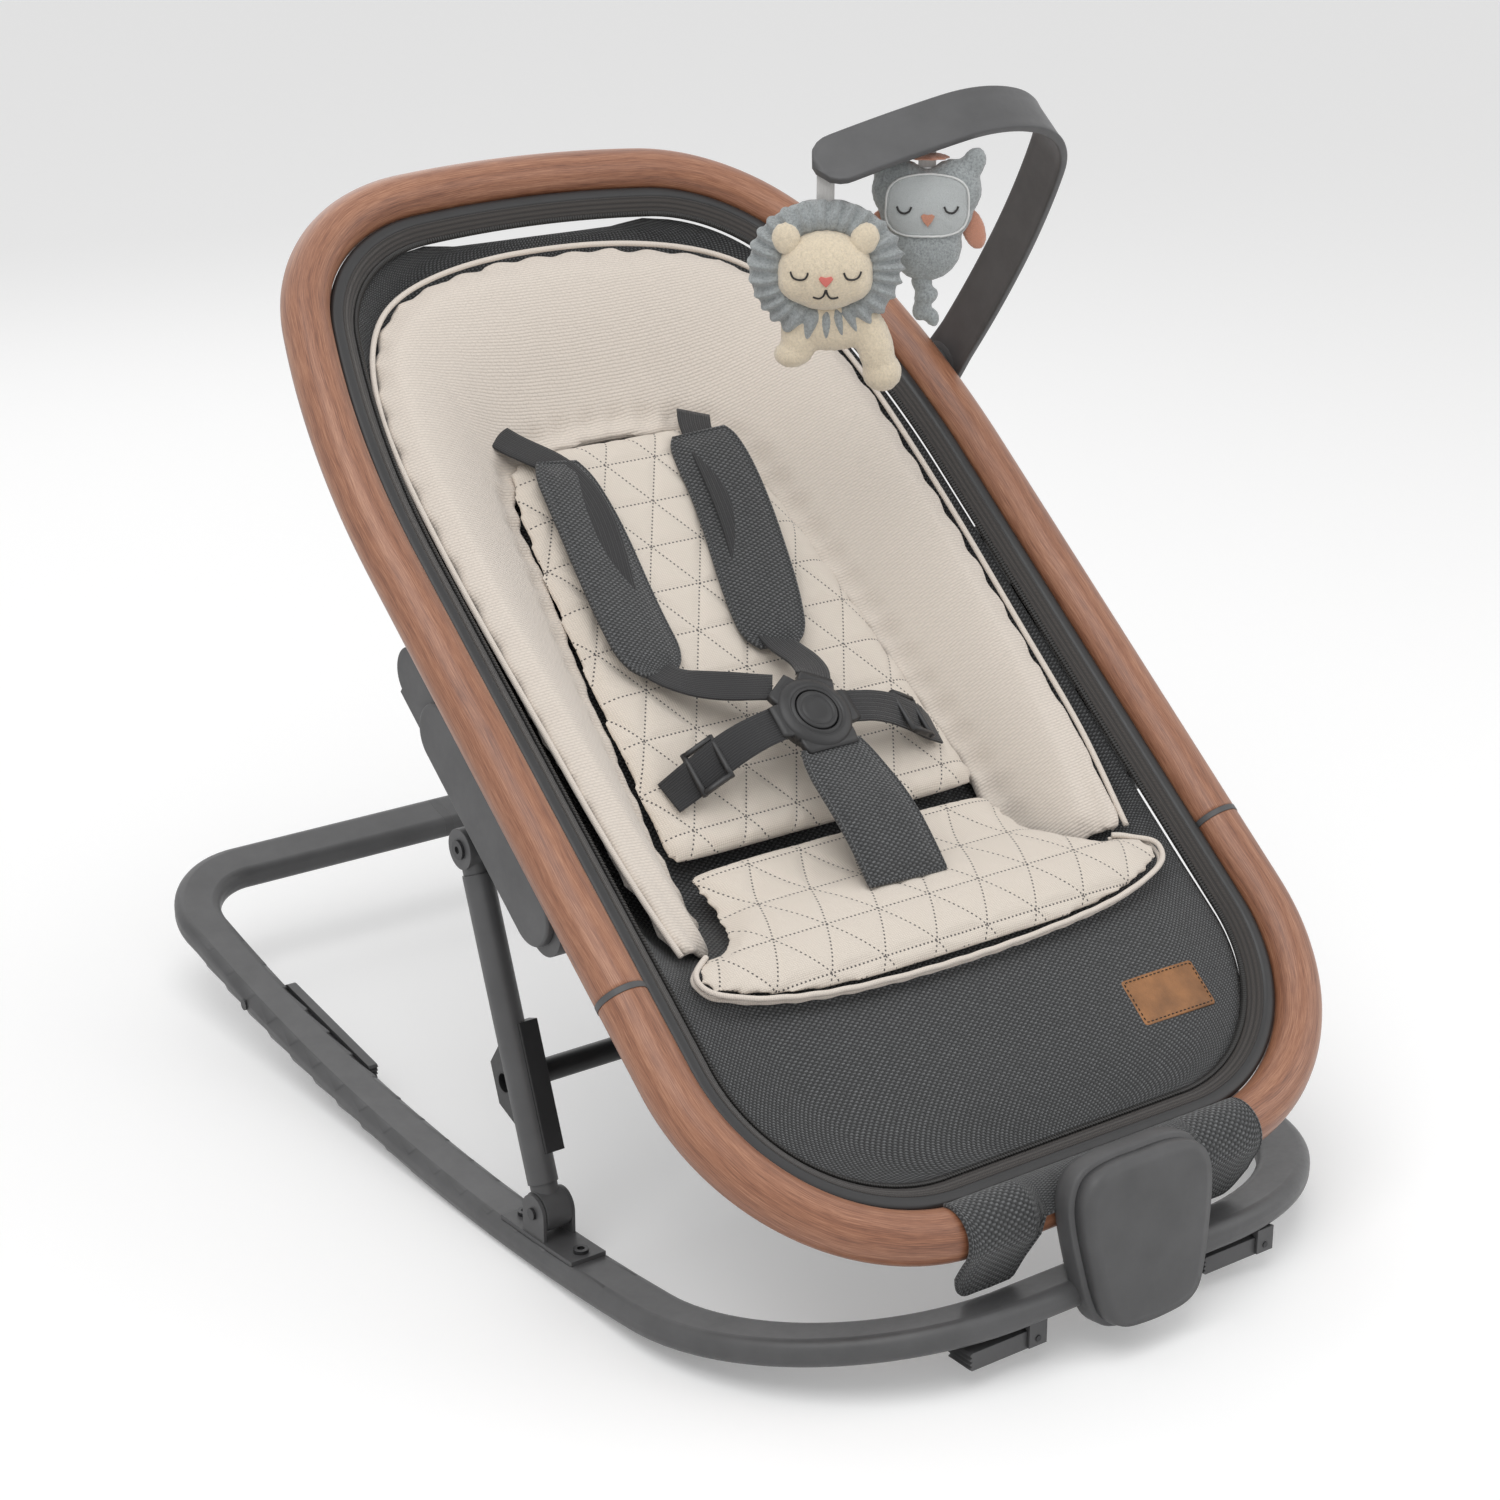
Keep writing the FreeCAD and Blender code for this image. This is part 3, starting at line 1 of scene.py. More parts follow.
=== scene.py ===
"""Looks of a baby bouncer seat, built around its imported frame.

Metres, +X to the right of someone who faces the seat's front, +Y towards the head, +Z up.
Sizes drawn in the seat frame's own plane are millimetres: x across, s up the frame from the middle
of its front tube, n out of the frame towards the child.
"""

import json
import logging
import math
from dataclasses import dataclass, field
from enum import Enum
from typing import Callable, Sequence

import bmesh
import bpy
import numpy as np
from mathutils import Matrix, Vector
from mathutils.bvhtree import BVHTree


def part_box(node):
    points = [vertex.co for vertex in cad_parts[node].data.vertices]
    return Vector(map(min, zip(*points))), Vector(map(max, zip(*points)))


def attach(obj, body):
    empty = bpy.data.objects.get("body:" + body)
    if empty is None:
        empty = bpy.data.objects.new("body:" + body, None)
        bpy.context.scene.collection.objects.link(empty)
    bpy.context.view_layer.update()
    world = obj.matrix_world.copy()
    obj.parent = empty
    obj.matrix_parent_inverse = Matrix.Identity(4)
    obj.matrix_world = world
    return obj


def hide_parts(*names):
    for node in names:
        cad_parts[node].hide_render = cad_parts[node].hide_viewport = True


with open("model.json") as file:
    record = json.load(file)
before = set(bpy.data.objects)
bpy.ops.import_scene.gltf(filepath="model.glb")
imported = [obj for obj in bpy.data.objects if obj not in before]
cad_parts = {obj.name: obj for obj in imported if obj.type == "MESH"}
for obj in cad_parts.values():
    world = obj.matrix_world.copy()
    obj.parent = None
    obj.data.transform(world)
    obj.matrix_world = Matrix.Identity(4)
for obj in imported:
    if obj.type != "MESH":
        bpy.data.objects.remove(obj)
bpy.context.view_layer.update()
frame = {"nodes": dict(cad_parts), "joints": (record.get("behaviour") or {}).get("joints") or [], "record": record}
LOG = logging.getLogger("bouncer")
MM = 0.001
PLAIN_AXES = {"X": Vector((1, 0, 0)), "Y": Vector((0, 1, 0)), "Z": Vector((0, 0, 1))}


class Slot(Enum):
    """Material slots of the record that the pieces take their finish from."""

    FRAME = "frame_paint"
    GREY_PLASTIC = "grey_plastic"
    BLACK_PLASTIC = "black_plastic"
    BLACK_PAINT = "black_paint"
    STEEL = "fastener_steel"
    WOOD = "walnut_foil"
    ZIP = "zip_webbing"
    CHARCOAL = "charcoal_weave"
    WHITE = "white_plastic"
    LEATHER = "tan_leather"
    WEBBING = "black_webbing"
    KNIT = "cream_knit"
    QUILT = "cream_quilt"
    CREAM_PLUSH = "cream_plush"
    GREY_PLUSH = "grey_plush"
    RIBBON = "pale_ribbon"


# ---------------------------------------------------------------- node trees
class Tree:
    """A material's node tree, with short ways to add the nodes that the finishes use."""

    def __init__(self, name: str) -> None:
        """Make an empty material with one Principled shader.

        Args:
            name: the material's name.
        """
        self.material = bpy.data.materials.new(name)
        self.material.use_nodes = True
        self.nodes = self.material.node_tree.nodes
        self.links = self.material.node_tree.links
        self.shader = self.nodes["Principled BSDF"]

    def add(self, kind: str, **settings: object) -> bpy.types.Node:
        """Add a node of a kind and set its properties."""
        made = self.nodes.new(kind)
        for key, value in settings.items():
            setattr(made, key, value)
        return made

    def wire(self, value: object, socket: bpy.types.NodeSocket) -> None:
        """Link a socket to another, or set a plain number on it."""
        if isinstance(value, bpy.types.NodeSocket):
            self.links.new(value, socket)
        else:
            socket.default_value = value

    def math(self, kind: str, *values: object) -> bpy.types.NodeSocket:
        """A Math node's result.

        Args:
            kind: the operation.
            values: its one, two or three inputs.

        Returns:
            The output socket.
        """
        made = self.add("ShaderNodeMath", operation=kind)
        for value, socket in zip(values, made.inputs):
            self.wire(value, socket)
        return made.outputs[0]

    def place(self) -> bpy.types.NodeSocket:
        """Coordinates of the piece in metres."""
        return self.add("ShaderNodeTexCoord").outputs["Object"]

    def cloth(self) -> tuple[bpy.types.NodeSocket, bpy.types.NodeSocket]:
        """Coordinates along the piece's own map, in metres: across and along."""
        parts = self.add("ShaderNodeSeparateXYZ")
        self.links.new(self.add("ShaderNodeUVMap", uv_map=CLOTH_MAP).outputs[0], parts.inputs[0])
        return parts.outputs[0], parts.outputs[1]

    def noise(self, scale: float, detail: float, where: object = None, rough: float = 0.5) -> bpy.types.NodeSocket:
        """A Noise texture's value.

        Args:
            scale: cycles per metre.
            detail: number of finer layers.
            where: coordinates, or the piece's own place.
            rough: strength of the finer layers.

        Returns:
            The value's socket.
        """
        made = self.add("ShaderNodeTexNoise")
        self.links.new(where or self.place(), made.inputs["Vector"])
        made.inputs["Scale"].default_value = scale
        made.inputs["Detail"].default_value = detail
        made.inputs["Roughness"].default_value = rough
        return made.outputs["Fac"]

    def vector(self, *values: object) -> bpy.types.NodeSocket:
        """A vector from three numbers or sockets."""
        made = self.add("ShaderNodeCombineXYZ")
        for value, socket in zip(values, made.inputs):
            self.wire(value, socket)
        return made.outputs[0]

    def ramp(self, value: object, *stops: tuple[float, tuple[float, float, float]]) -> bpy.types.NodeSocket:
        """Colours along a value.

        Args:
            value: the socket that chooses the colour.
            stops: places from 0 to 1 with a linear colour each.

        Returns:
            The colour's socket.
        """
        made = self.add("ShaderNodeValToRGB")
        self.links.new(value, made.inputs[0])
        points = made.color_ramp.elements
        while len(points) < len(stops):
            points.new(0.5)
        for point, (at, colour) in zip(points, stops):
            point.position = at
            point.color = (*colour, 1)
        return made.outputs["Color"]

    def scaled(self, value: object, low: float, high: float) -> bpy.types.NodeSocket:
        """A value from 0 to 1 moved to a range."""
        made = self.add("ShaderNodeMapRange")
        self.links.new(value, made.inputs[0])
        made.inputs["To Min"].default_value = low
        made.inputs["To Max"].default_value = high
        return made.outputs[0]

    def blend(self, share: object, first: object, second: object) -> bpy.types.NodeSocket:
        """Two colours mixed by a share."""
        made = self.add("ShaderNodeMix", data_type="RGBA")
        self.wire(share, made.inputs[0])
        for value, socket in ((first, made.inputs[6]), (second, made.inputs[7])):
            self.wire((*value, 1) if isinstance(value, tuple) else value, socket)
        return made.outputs[2]

    def bump(self, height: object, depth: float, edge: float = 0.0) -> None:
        """Raise the surface by a height, over edges that look worn round.

        Args:
            height: the height's socket, from 0 to 1.
            depth: the height of 1, in metres.
            edge: radius of the rounded look of hard edges, in metres.
        """
        made = self.add("ShaderNodeBump")
        made.inputs["Strength"].default_value = 1.0
        made.inputs["Distance"].default_value = depth
        self.links.new(height, made.inputs["Height"])
        if edge:
            worn = self.add("ShaderNodeBevel", samples=4)
            worn.inputs["Radius"].default_value = edge
            self.links.new(worn.outputs[0], made.inputs["Normal"])
        self.links.new(made.outputs[0], self.shader.inputs["Normal"])

    def set(self, **values: object) -> None:
        """Set or link the shader's sockets, named with _ for a space."""
        for key, value in values.items():
            socket = self.shader.inputs[key.replace("_", " ")]
            self.wire((*value, 1) if isinstance(value, tuple) and len(value) == 3 else value, socket)

    def steps(self, value: object, pitch: float) -> tuple[bpy.types.NodeSocket, bpy.types.NodeSocket]:
        """A coordinate cut into equal steps.

        Args:
            value: the coordinate in metres.
            pitch: one step in metres.

        Returns:
            The step's number and the share of it passed.
        """
        scaled = self.math("DIVIDE", value, pitch)
        return self.math("FLOOR", scaled), self.math("FRACT", scaled)

    def hill(self, share: object) -> bpy.types.NodeSocket:
        """A round rise over one step: 0 at its ends and 1 in its middle."""
        return self.math("SINE", self.math("MULTIPLY", share, math.pi))


Colour = tuple[float, float, float]
CLOTH_MAP = "cloth"


@dataclass(frozen=True)
class Painted:
    """Satin powder coat or moulded plastic: fine grain, faint blotches, worn edges."""

    name: str
    colour: Colour
    roughness: float = 0.45
    grain: float = 1400.0
    depth: float = 0.00004
    edge: float = 0.0006
    metal: float = 0.0

    def material(self) -> bpy.types.Material:
        """The finish as a node material."""
        tree = Tree(self.name)
        cloud = tree.noise(35.0, 4.0)
        darker = tuple(part * 0.86 for part in self.colour)
        lighter = tuple(min(part * 1.12, 1.0) for part in self.colour)
        tree.set(Base_Color=tree.ramp(cloud, (0.3, darker), (0.7, lighter)))
        tree.set(Roughness=tree.scaled(tree.noise(220.0, 3.0), self.roughness - 0.06, self.roughness + 0.08))
        tree.set(Metallic=self.metal)
        tree.bump(tree.noise(self.grain, 2.0), self.depth, self.edge)
        return tree.material


@dataclass(frozen=True)
class WoodFoil:
    """Printed wood foil on a tube: long fine grain that follows the bend, under a satin coat."""

    name: str
    light: Colour
    middle: Colour
    dark: Colour
    fibre: float = 1500.0
    stretch: float = 28.0

    def material(self) -> bpy.types.Material:
        """The finish as a node material."""
        tree = Tree(self.name)
        around, along = tree.cloth()
        drift = tree.math("MULTIPLY", tree.noise(7.0, 2.0), 0.012)
        across = tree.math("ADD", around, drift)
        long_way = tree.vector(tree.math("MULTIPLY", along, 1 / self.stretch), across, 0.0)
        fibres = tree.noise(self.fibre, 5.0, long_way, 0.62)
        bands = tree.noise(170.0, 3.0, long_way, 0.5)
        pores = tree.noise(3400.0, 2.0, long_way, 0.5)
        grain = tree.math("ADD", tree.math("MULTIPLY", fibres, 0.62), tree.math("MULTIPLY", bands, 0.38))
        wood = tree.ramp(grain, (0.36, self.dark), (0.5, self.middle), (0.64, self.light))
        pore = tree.ramp(pores, (0.30, (1, 1, 1)), (0.40, (0, 0, 0)))
        tree.set(Base_Color=tree.blend(tree.math("MULTIPLY", pore, 0.55), wood, self.dark))
        tree.set(Roughness=tree.scaled(fibres, 0.34, 0.5), Coat_Weight=0.25, Coat_Roughness=0.35)
        tree.bump(fibres, 0.00006)
        return tree.material


@dataclass(frozen=True)
class BasketWeave:
    """Coarse two-tone plain weave: dark yarn crossed by flecked paler yarn."""

    name: str
    dark: Colour
    pale: Colour
    pitch: float = 0.0026
    depth: float = 0.0005

    def material(self) -> bpy.types.Material:
        """The finish as a node material."""
        tree = Tree(self.name)
        across, along = tree.cloth()
        waver = tree.math("MULTIPLY", tree.noise(260.0, 1.0), 0.0006)
        column, u = tree.steps(tree.math("ADD", across, waver), self.pitch)
        row, v = tree.steps(tree.math("ADD", along, waver), self.pitch * 0.62)
        odd = tree.math("FLOORED_MODULO", tree.math("ADD", column, row), 2.0)
        warp = tree.math("MULTIPLY", tree.hill(u), tree.math("ADD", tree.math("MULTIPLY", tree.hill(v), 0.5), 0.5))
        weft = tree.math("MULTIPLY", tree.hill(v), tree.math("ADD", tree.math("MULTIPLY", tree.hill(u), 0.7), 0.3))
        height = tree.math("ADD", tree.math("MULTIPLY", odd, weft),
                           tree.math("MULTIPLY", tree.math("SUBTRACT", 1.0, odd), tree.math("MULTIPLY", warp, 0.6)))
        fleck = tree.noise(1.0, 0.0, tree.vector(tree.math("MULTIPLY", column, 7.31), tree.math("MULTIPLY", row, 3.17), 0.0))
        shown = tree.math("MULTIPLY", tree.math("MULTIPLY", odd, weft), tree.scaled(fleck, 0.35, 1.25))
        tree.set(Base_Color=tree.blend(shown, self.dark, self.pale))
        tree.set(Roughness=0.85, Sheen_Weight=0.25, Sheen_Roughness=0.5)
        tree.bump(height, self.depth)
        return tree.material


@dataclass(frozen=True)
class RibbedKnit:
    """Smooth knit with fine ribs that break into short bars, and painted shade that darkens the grooves between them.
    """

    name: str
    colour: Colour
    pitch: float = 0.0021
    bar: float = 0.0046
    depth: float = 0.00035
    shade: float = 0.82

    def material(self) -> bpy.types.Material:
        """The finish as a node material."""
        tree = Tree(self.name)
        across, along = tree.cloth()
        waver = tree.math("MULTIPLY", tree.noise(40.0, 2.0), 0.0016)
        row, v = tree.steps(tree.math("ADD", along, waver), self.pitch)
        shift = tree.math("MULTIPLY", tree.math("FLOORED_MODULO", row, 2.0), self.bar / 2)
        bars = tree.steps(tree.math("ADD", across, shift), self.bar)[1]
        height = tree.math("MULTIPLY", tree.hill(v), tree.math("POWER", tree.hill(bars), 0.35))
        # darker colour, used both for the painted shade in the grooves and for random cloudy tone
        deep = tuple(part * self.shade for part in self.colour)
        cloud = tree.noise(30.0, 3.0)
        # painted shade: the yarn colour darkens towards the grooves between ribs, where the bump is low
        yarn = tree.blend(tree.math("POWER", height, 0.6), deep, self.colour)
        tree.set(Base_Color=tree.blend(tree.scaled(cloud, 0.0, 0.16), yarn, deep))
        tree.set(Roughness=0.8, Sheen_Weight=0.3, Sheen_Roughness=0.5)
        tree.bump(height, self.depth)
        return tree.material


@dataclass(frozen=True)
class StitchedQuilt:
    """Cream woven cloth with painted shade in the hollows of its weave, and dark dotted stitches along three sets of
    lines.
    """

    name: str
    colour: Colour
    thread: Colour
    pitch: float
    angles: tuple[float, ...]
    dot: float = 0.0032
    half: float = 0.00055

    def material(self) -> bpy.types.Material:
        """The finish as a node material."""
        tree = Tree(self.name)
        across, along = tree.cloth()
        u = tree.steps(across, 0.0016)[1]
        v = tree.steps(along, 0.0013)[1]
        height = tree.math("MULTIPLY", tree.hill(u), tree.hill(v))
        stitched: object = 0.0
        for angle in self.angles:
            side = tree.math("ADD", tree.math("MULTIPLY", across, -math.sin(angle)),
                             tree.math("MULTIPLY", along, math.cos(angle)))
            run = tree.math("ADD", tree.math("MULTIPLY", across, math.cos(angle)),
                            tree.math("MULTIPLY", along, math.sin(angle)))
            share = tree.math("SUBTRACT", tree.steps(tree.math("ADD", side, self.pitch / 2), self.pitch)[1], 0.5)
            near = tree.math("LESS_THAN", tree.math("ABSOLUTE", share), self.half / self.pitch)
            dots = tree.math("LESS_THAN", tree.steps(run, self.dot)[1], 0.42)
            stitched = tree.math("MAXIMUM", stitched, tree.math("MULTIPLY", near, dots))
        # painted shade: the weave's colour darkens in its hollows, where the bump is low
        deep = tuple(part * 0.86 for part in self.colour)
        yarn = tree.blend(height, deep, self.colour)
        tree.set(Base_Color=tree.blend(stitched, yarn, self.thread))
        tree.set(Roughness=0.82, Sheen_Weight=0.25, Sheen_Roughness=0.5)
        tree.bump(tree.math("SUBTRACT", height, tree.math("MULTIPLY", stitched, 1.5)), 0.00022)
        return tree.material


@dataclass(frozen=True)
class Webbing:
    """Flat woven strap: fine chevron ribs along its length, with a painted highlight that makes the rib crowns paler.
    """

    name: str
    colour: Colour
    # colour of the painted highlight on the rib crowns
    pale: Colour
    pitch: float = 0.0017
    rows: float = 0.0011
    slant: float = 0.5
    depth: float = 0.00025

    def material(self) -> bpy.types.Material:
        """The finish as a node material."""
        tree = Tree(self.name)
        across, along = tree.cloth()
        column, u = tree.steps(across, self.pitch)
        way = tree.math("SUBTRACT", tree.math("MULTIPLY", tree.math("FLOORED_MODULO", column, 2.0), 2.0), 1.0)
        lean = tree.math("MULTIPLY", tree.math("MULTIPLY", u, way), self.rows * 2 * self.slant)
        v = tree.steps(tree.math("ADD", along, lean), self.rows)[1]
        height = tree.math("MULTIPLY", tree.hill(u), tree.math("POWER", tree.hill(v), 0.7))
        # painted highlight: the rib crowns are coloured paler than the grooves
        tree.set(Base_Color=tree.blend(tree.math("POWER", height, 1.5), self.colour, self.pale))
        tree.set(Roughness=0.7, Sheen_Weight=0.2, Sheen_Roughness=0.4)
        tree.bump(height, self.depth)
        return tree.material


@dataclass(frozen=True)
class Plush:
    """Short brushed pile: speckle from painted shade where the pile is low, strong sheen."""

    name: str
    colour: Colour
    shade: float = 0.72
    tuft: float = 620.0

    def material(self) -> bpy.types.Material:
        """The finish as a node material."""
        tree = Tree(self.name)
        pile = tree.noise(self.tuft, 5.0, None, 0.7)
        deep = tuple(part * self.shade for part in self.colour)
        # painted shade: the pile is coloured darker where its bump, from the same noise, is low
        tree.set(Base_Color=tree.ramp(pile, (0.34, deep), (0.62, self.colour)))
        tree.set(Roughness=0.95, Sheen_Weight=0.6, Sheen_Roughness=0.45)
        tree.bump(pile, 0.0011)
        return tree.material


@dataclass(frozen=True)
class Leather:
    """Smooth leather with fine pores and a darker pulled grain."""

    name: str
    colour: Colour

    def material(self) -> bpy.types.Material:
        """The finish as a node material."""
        tree = Tree(self.name)
        pores = tree.add("ShaderNodeTexVoronoi")
        tree.links.new(tree.place(), pores.inputs["Vector"])
        pores.inputs["Scale"].default_value = 900.0
        cloud = tree.noise(60.0, 5.0)
        deep = tuple(part * 0.55 for part in self.colour)
        tree.set(Base_Color=tree.ramp(cloud, (0.3, deep), (0.65, self.colour)))
        tree.set(Roughness=tree.scaled(cloud, 0.42, 0.6), Specular_IOR_Level=0.4)
        tree.bump(pores.outputs["Distance"], 0.00012)
        return tree.material


# ---------------------------------------------------------------- finishes
class Finish:
    """The finishes of this seat, made once each and shared."""

    made: dict[str, bpy.types.Material] = {}
    QUILT_PITCH = 0.036
    QUILT_ANGLES = (0.0, math.radians(60), math.radians(120))
    TABLE = {
        Slot.FRAME: Painted("FramePaint", (0.082, 0.082, 0.084), 0.42),
        Slot.GREY_PLASTIC: Painted("GreyMoulding", (0.078, 0.078, 0.08), 0.48, 1100.0, 0.00006, 0.0008),
        Slot.BLACK_PLASTIC: Painted("BlackMoulding", (0.022, 0.022, 0.023), 0.4, 1100.0, 0.00005, 0.0006),
        Slot.BLACK_PAINT: Painted("BlackPaint", (0.016, 0.016, 0.017), 0.4),
        Slot.STEEL: Painted("BlackenedSteel", (0.05, 0.05, 0.052), 0.34, 1800.0, 0.00003, 0.0003, 0.6),
        Slot.WOOD: WoodFoil("WalnutFoil", (0.44, 0.215, 0.125), (0.30, 0.125, 0.066), (0.155, 0.055, 0.028)),
        # the second colour of ZipTape is a painted highlight on its rib crowns
        Slot.ZIP: Webbing("ZipTape", (0.018, 0.016, 0.015), (0.072, 0.062, 0.056), 0.0034, 0.0013, 0.9),
        Slot.CHARCOAL: BasketWeave("CharcoalWeave", (0.020, 0.021, 0.022), (0.17, 0.175, 0.18)),
        Slot.WHITE: Painted("WhiteInlay", (0.82, 0.82, 0.81), 0.35, 1100.0, 0.00002, 0.0004),
        Slot.LEATHER: Leather("TanLeather", (0.36, 0.165, 0.065)),
        # the second colour of BlackWebbing is a painted highlight on its rib crowns
        Slot.WEBBING: Webbing("BlackWebbing", (0.009, 0.009, 0.010), (0.035, 0.035, 0.037)),
        # CreamKnit and CreamQuilt carry painted shade in the grooves and hollows of their weave
        Slot.KNIT: RibbedKnit("CreamKnit", (0.78, 0.70, 0.62)),
        Slot.QUILT: StitchedQuilt("CreamQuilt", (0.80, 0.72, 0.63), (0.10, 0.09, 0.085), QUILT_PITCH, QUILT_ANGLES),
        # the third number of each Plush is the share of its painted shade in the low pile
        Slot.CREAM_PLUSH: Plush("CreamPlush", (0.86, 0.74, 0.56), 0.8),
        Slot.GREY_PLUSH: Plush("GreyPlush", (0.42, 0.45, 0.455), 0.55),
        # the second colour of SatinRibbon is a painted highlight on its rib crowns
        Slot.RIBBON: Webbing("SatinRibbon", (0.62, 0.60, 0.58), (0.86, 0.85, 0.83), 0.0009, 0.0005),
    }

    @classmethod
    def of(cls, slot: Slot) -> bpy.types.Material:
        """The material of a slot."""
        return cls.named(cls.TABLE[slot])

    @classmethod
    def named(cls, finish: object) -> bpy.types.Material:
        """The material of a finish, made the first time it is asked for."""
        if finish.name not in cls.made:
            cls.made[finish.name] = finish.material()
        return cls.made[finish.name]


# PalePiping carries painted shade in its rib grooves; PaleFelt and CoralFelt carry it in their low pile
PALE_KNIT = RibbedKnit("PalePiping", (0.80, 0.72, 0.64), 0.0012, 0.003, 0.0002)
PALE_FELT = Plush("PaleFelt", (0.60, 0.63, 0.63), 0.86, 1500.0)
CORAL_FELT = Plush("CoralFelt", (0.72, 0.33, 0.22), 0.8, 1500.0)
ROSE_THREAD = Painted("RoseThread", (0.75, 0.20, 0.17), 0.8, 3000.0, 0.0002)
DARK_THREAD = Painted("DarkThread", (0.03, 0.028, 0.027), 0.8, 3000.0, 0.0002)
PALE_THREAD = Painted("PaleThread", (0.70, 0.71, 0.70), 0.8, 3000.0, 0.0002)
ZIP_METAL = Painted("ZipCoil", (0.028, 0.027, 0.026), 0.5, 2200.0, 0.00003)


# ---------------------------------------------------------------- drawing tools
@dataclass(frozen=True)
class SeatPlane:
    """The plane that the seat frame is drawn in."""

    up: Vector
    origin: Vector

    @property
    def out(self) -> Vector:
        """Direction out of the plane, towards the child."""
        return PLAIN_AXES["X"].cross(self.up)

    def at(self, x: float, s: float, n: float) -> Vector:
        """A point of the plane, in metres."""
        return self.origin + MM * (x * PLAIN_AXES["X"] + s * self.up + n * self.out)

    def place(self, drawn: np.ndarray) -> np.ndarray:
        """Points (x, s, n) in millimetres, placed in metres."""
        axes = np.array([PLAIN_AXES["X"], self.up, self.out])
        return np.array(self.origin) + MM * (np.asarray(drawn, float) @ axes)

    def drawn(self, placed: np.ndarray) -> np.ndarray:
        """Placed points, back in the plane's millimetres."""
        axes = np.array([PLAIN_AXES["X"], self.up, self.out])
        return ((np.asarray(placed, float) - np.array(self.origin)) @ axes.T) / MM


SLIDE_AXIS = next(Vector(joint["axis"]) for joint in frame["joints"] if joint["name"] == "carriage_slide")
SEAT = SeatPlane(SLIDE_AXIS.normalized(), Vector((0.0, -0.381, 0.0923)))


def spline(knots: Sequence[float], values: Sequence[float], at: np.ndarray) -> np.ndarray:
    """Smooth curve through values, without overshoot between two equal ones.

    Args:
        knots: increasing places of the values.
        values: the values.
        at: the places asked for.

    Returns:
        The curve's values there.
    """
    x, y = np.asarray(knots, float), np.asarray(values, float)
    step = np.diff(x)
    slope = np.diff(y) / step
    tangent = np.empty_like(y)
    tangent[0], tangent[-1] = slope[0], slope[-1]
    tangent[1:-1] = np.where(slope[1:] * slope[:-1] > 0, (slope[1:] + slope[:-1]) / 2, 0.0)
    limit = 2.6 * np.minimum(np.abs(np.append(slope, slope[-1])), np.abs(np.insert(slope, 0, slope[0])))
    tangent = np.clip(tangent, -limit, limit)
    at = np.clip(np.asarray(at, float), x[0], x[-1])
    part = np.clip(np.searchsorted(x, at, side="right") - 1, 0, len(step) - 1)
    t = (at - x[part]) / step[part]
    return ((1 + 2 * t) * (1 - t) ** 2 * y[part] + t * (1 - t) ** 2 * step[part] * tangent[part]
            + t * t * (3 - 2 * t) * y[part + 1] + t * t * (t - 1) * step[part] * tangent[part + 1])


def curve_through(points: Sequence[Sequence[float]], count: int) -> np.ndarray:
    """Evenly stepped points on a smooth curve through a few points.

    Args:
        points: the few points, of any dimension.
        count: how many to return.

    Returns:
        An array of the points.
    """
    spots = np.asarray(points, float)
    lengths = np.insert(np.cumsum(np.linalg.norm(np.diff(spots, axis=0), axis=1)), 0, 0.0)
    dense = np.linspace(0, lengths[-1], count * 4)
    drawn = np.stack([natural(lengths, column, dense) for column in spots.T], 1)
    run = np.insert(np.cumsum(np.linalg.norm(np.diff(drawn, axis=0), axis=1)), 0, 0.0)
    even = np.linspace(0, run[-1], count)
    return np.stack([np.interp(even, run, column) for column in drawn.T], 1)


def natural(knots: np.ndarray, values: np.ndarray, at: np.ndarray) -> np.ndarray:
    """Cubic spline with free ends through values.

    Args:
        knots: increasing places of the values.
        values: the values.
        at: the places asked for.

    Returns:
        The curve's values there.
    """
    step = np.diff(knots)
    count = len(knots)
    system, right = np.eye(count), np.zeros(count)
    for i in range(1, count - 1):
        system[i, i - 1:i + 2] = step[i - 1], 2 * (step[i - 1] + step[i]), step[i]
        right[i] = 6 * ((values[i + 1] - values[i]) / step[i] - (values[i] - values[i - 1]) / step[i - 1])
    bend = np.linalg.solve(system, right)
    part = np.clip(np.searchsorted(knots, at, side="right") - 1, 0, count - 2)
    gap = step[part]
    before, after = at - knots[part], knots[part + 1] - at
    return ((bend[part] * after ** 3 + bend[part + 1] * before ** 3) / (6 * gap)
            + (values[part] / gap - bend[part] * gap / 6) * after
            + (values[part + 1] / gap - bend[part + 1] * gap / 6) * before)


def run_length(points: np.ndarray, closed: bool = False) -> np.ndarray:
    """Length passed at each point of a line; a closed one ends with its whole length."""
    line = np.vstack([points, points[:1]]) if closed else points
    return np.insert(np.cumsum(np.linalg.norm(np.diff(line, axis=0), axis=1)), 0, 0.0)


def circle(radius: float, count: int = 16) -> np.ndarray:
    """Points of a round section."""
    turn = np.linspace(0, 2 * math.pi, count, endpoint=False)
    return radius * np.stack([np.cos(turn), np.sin(turn)], 1)


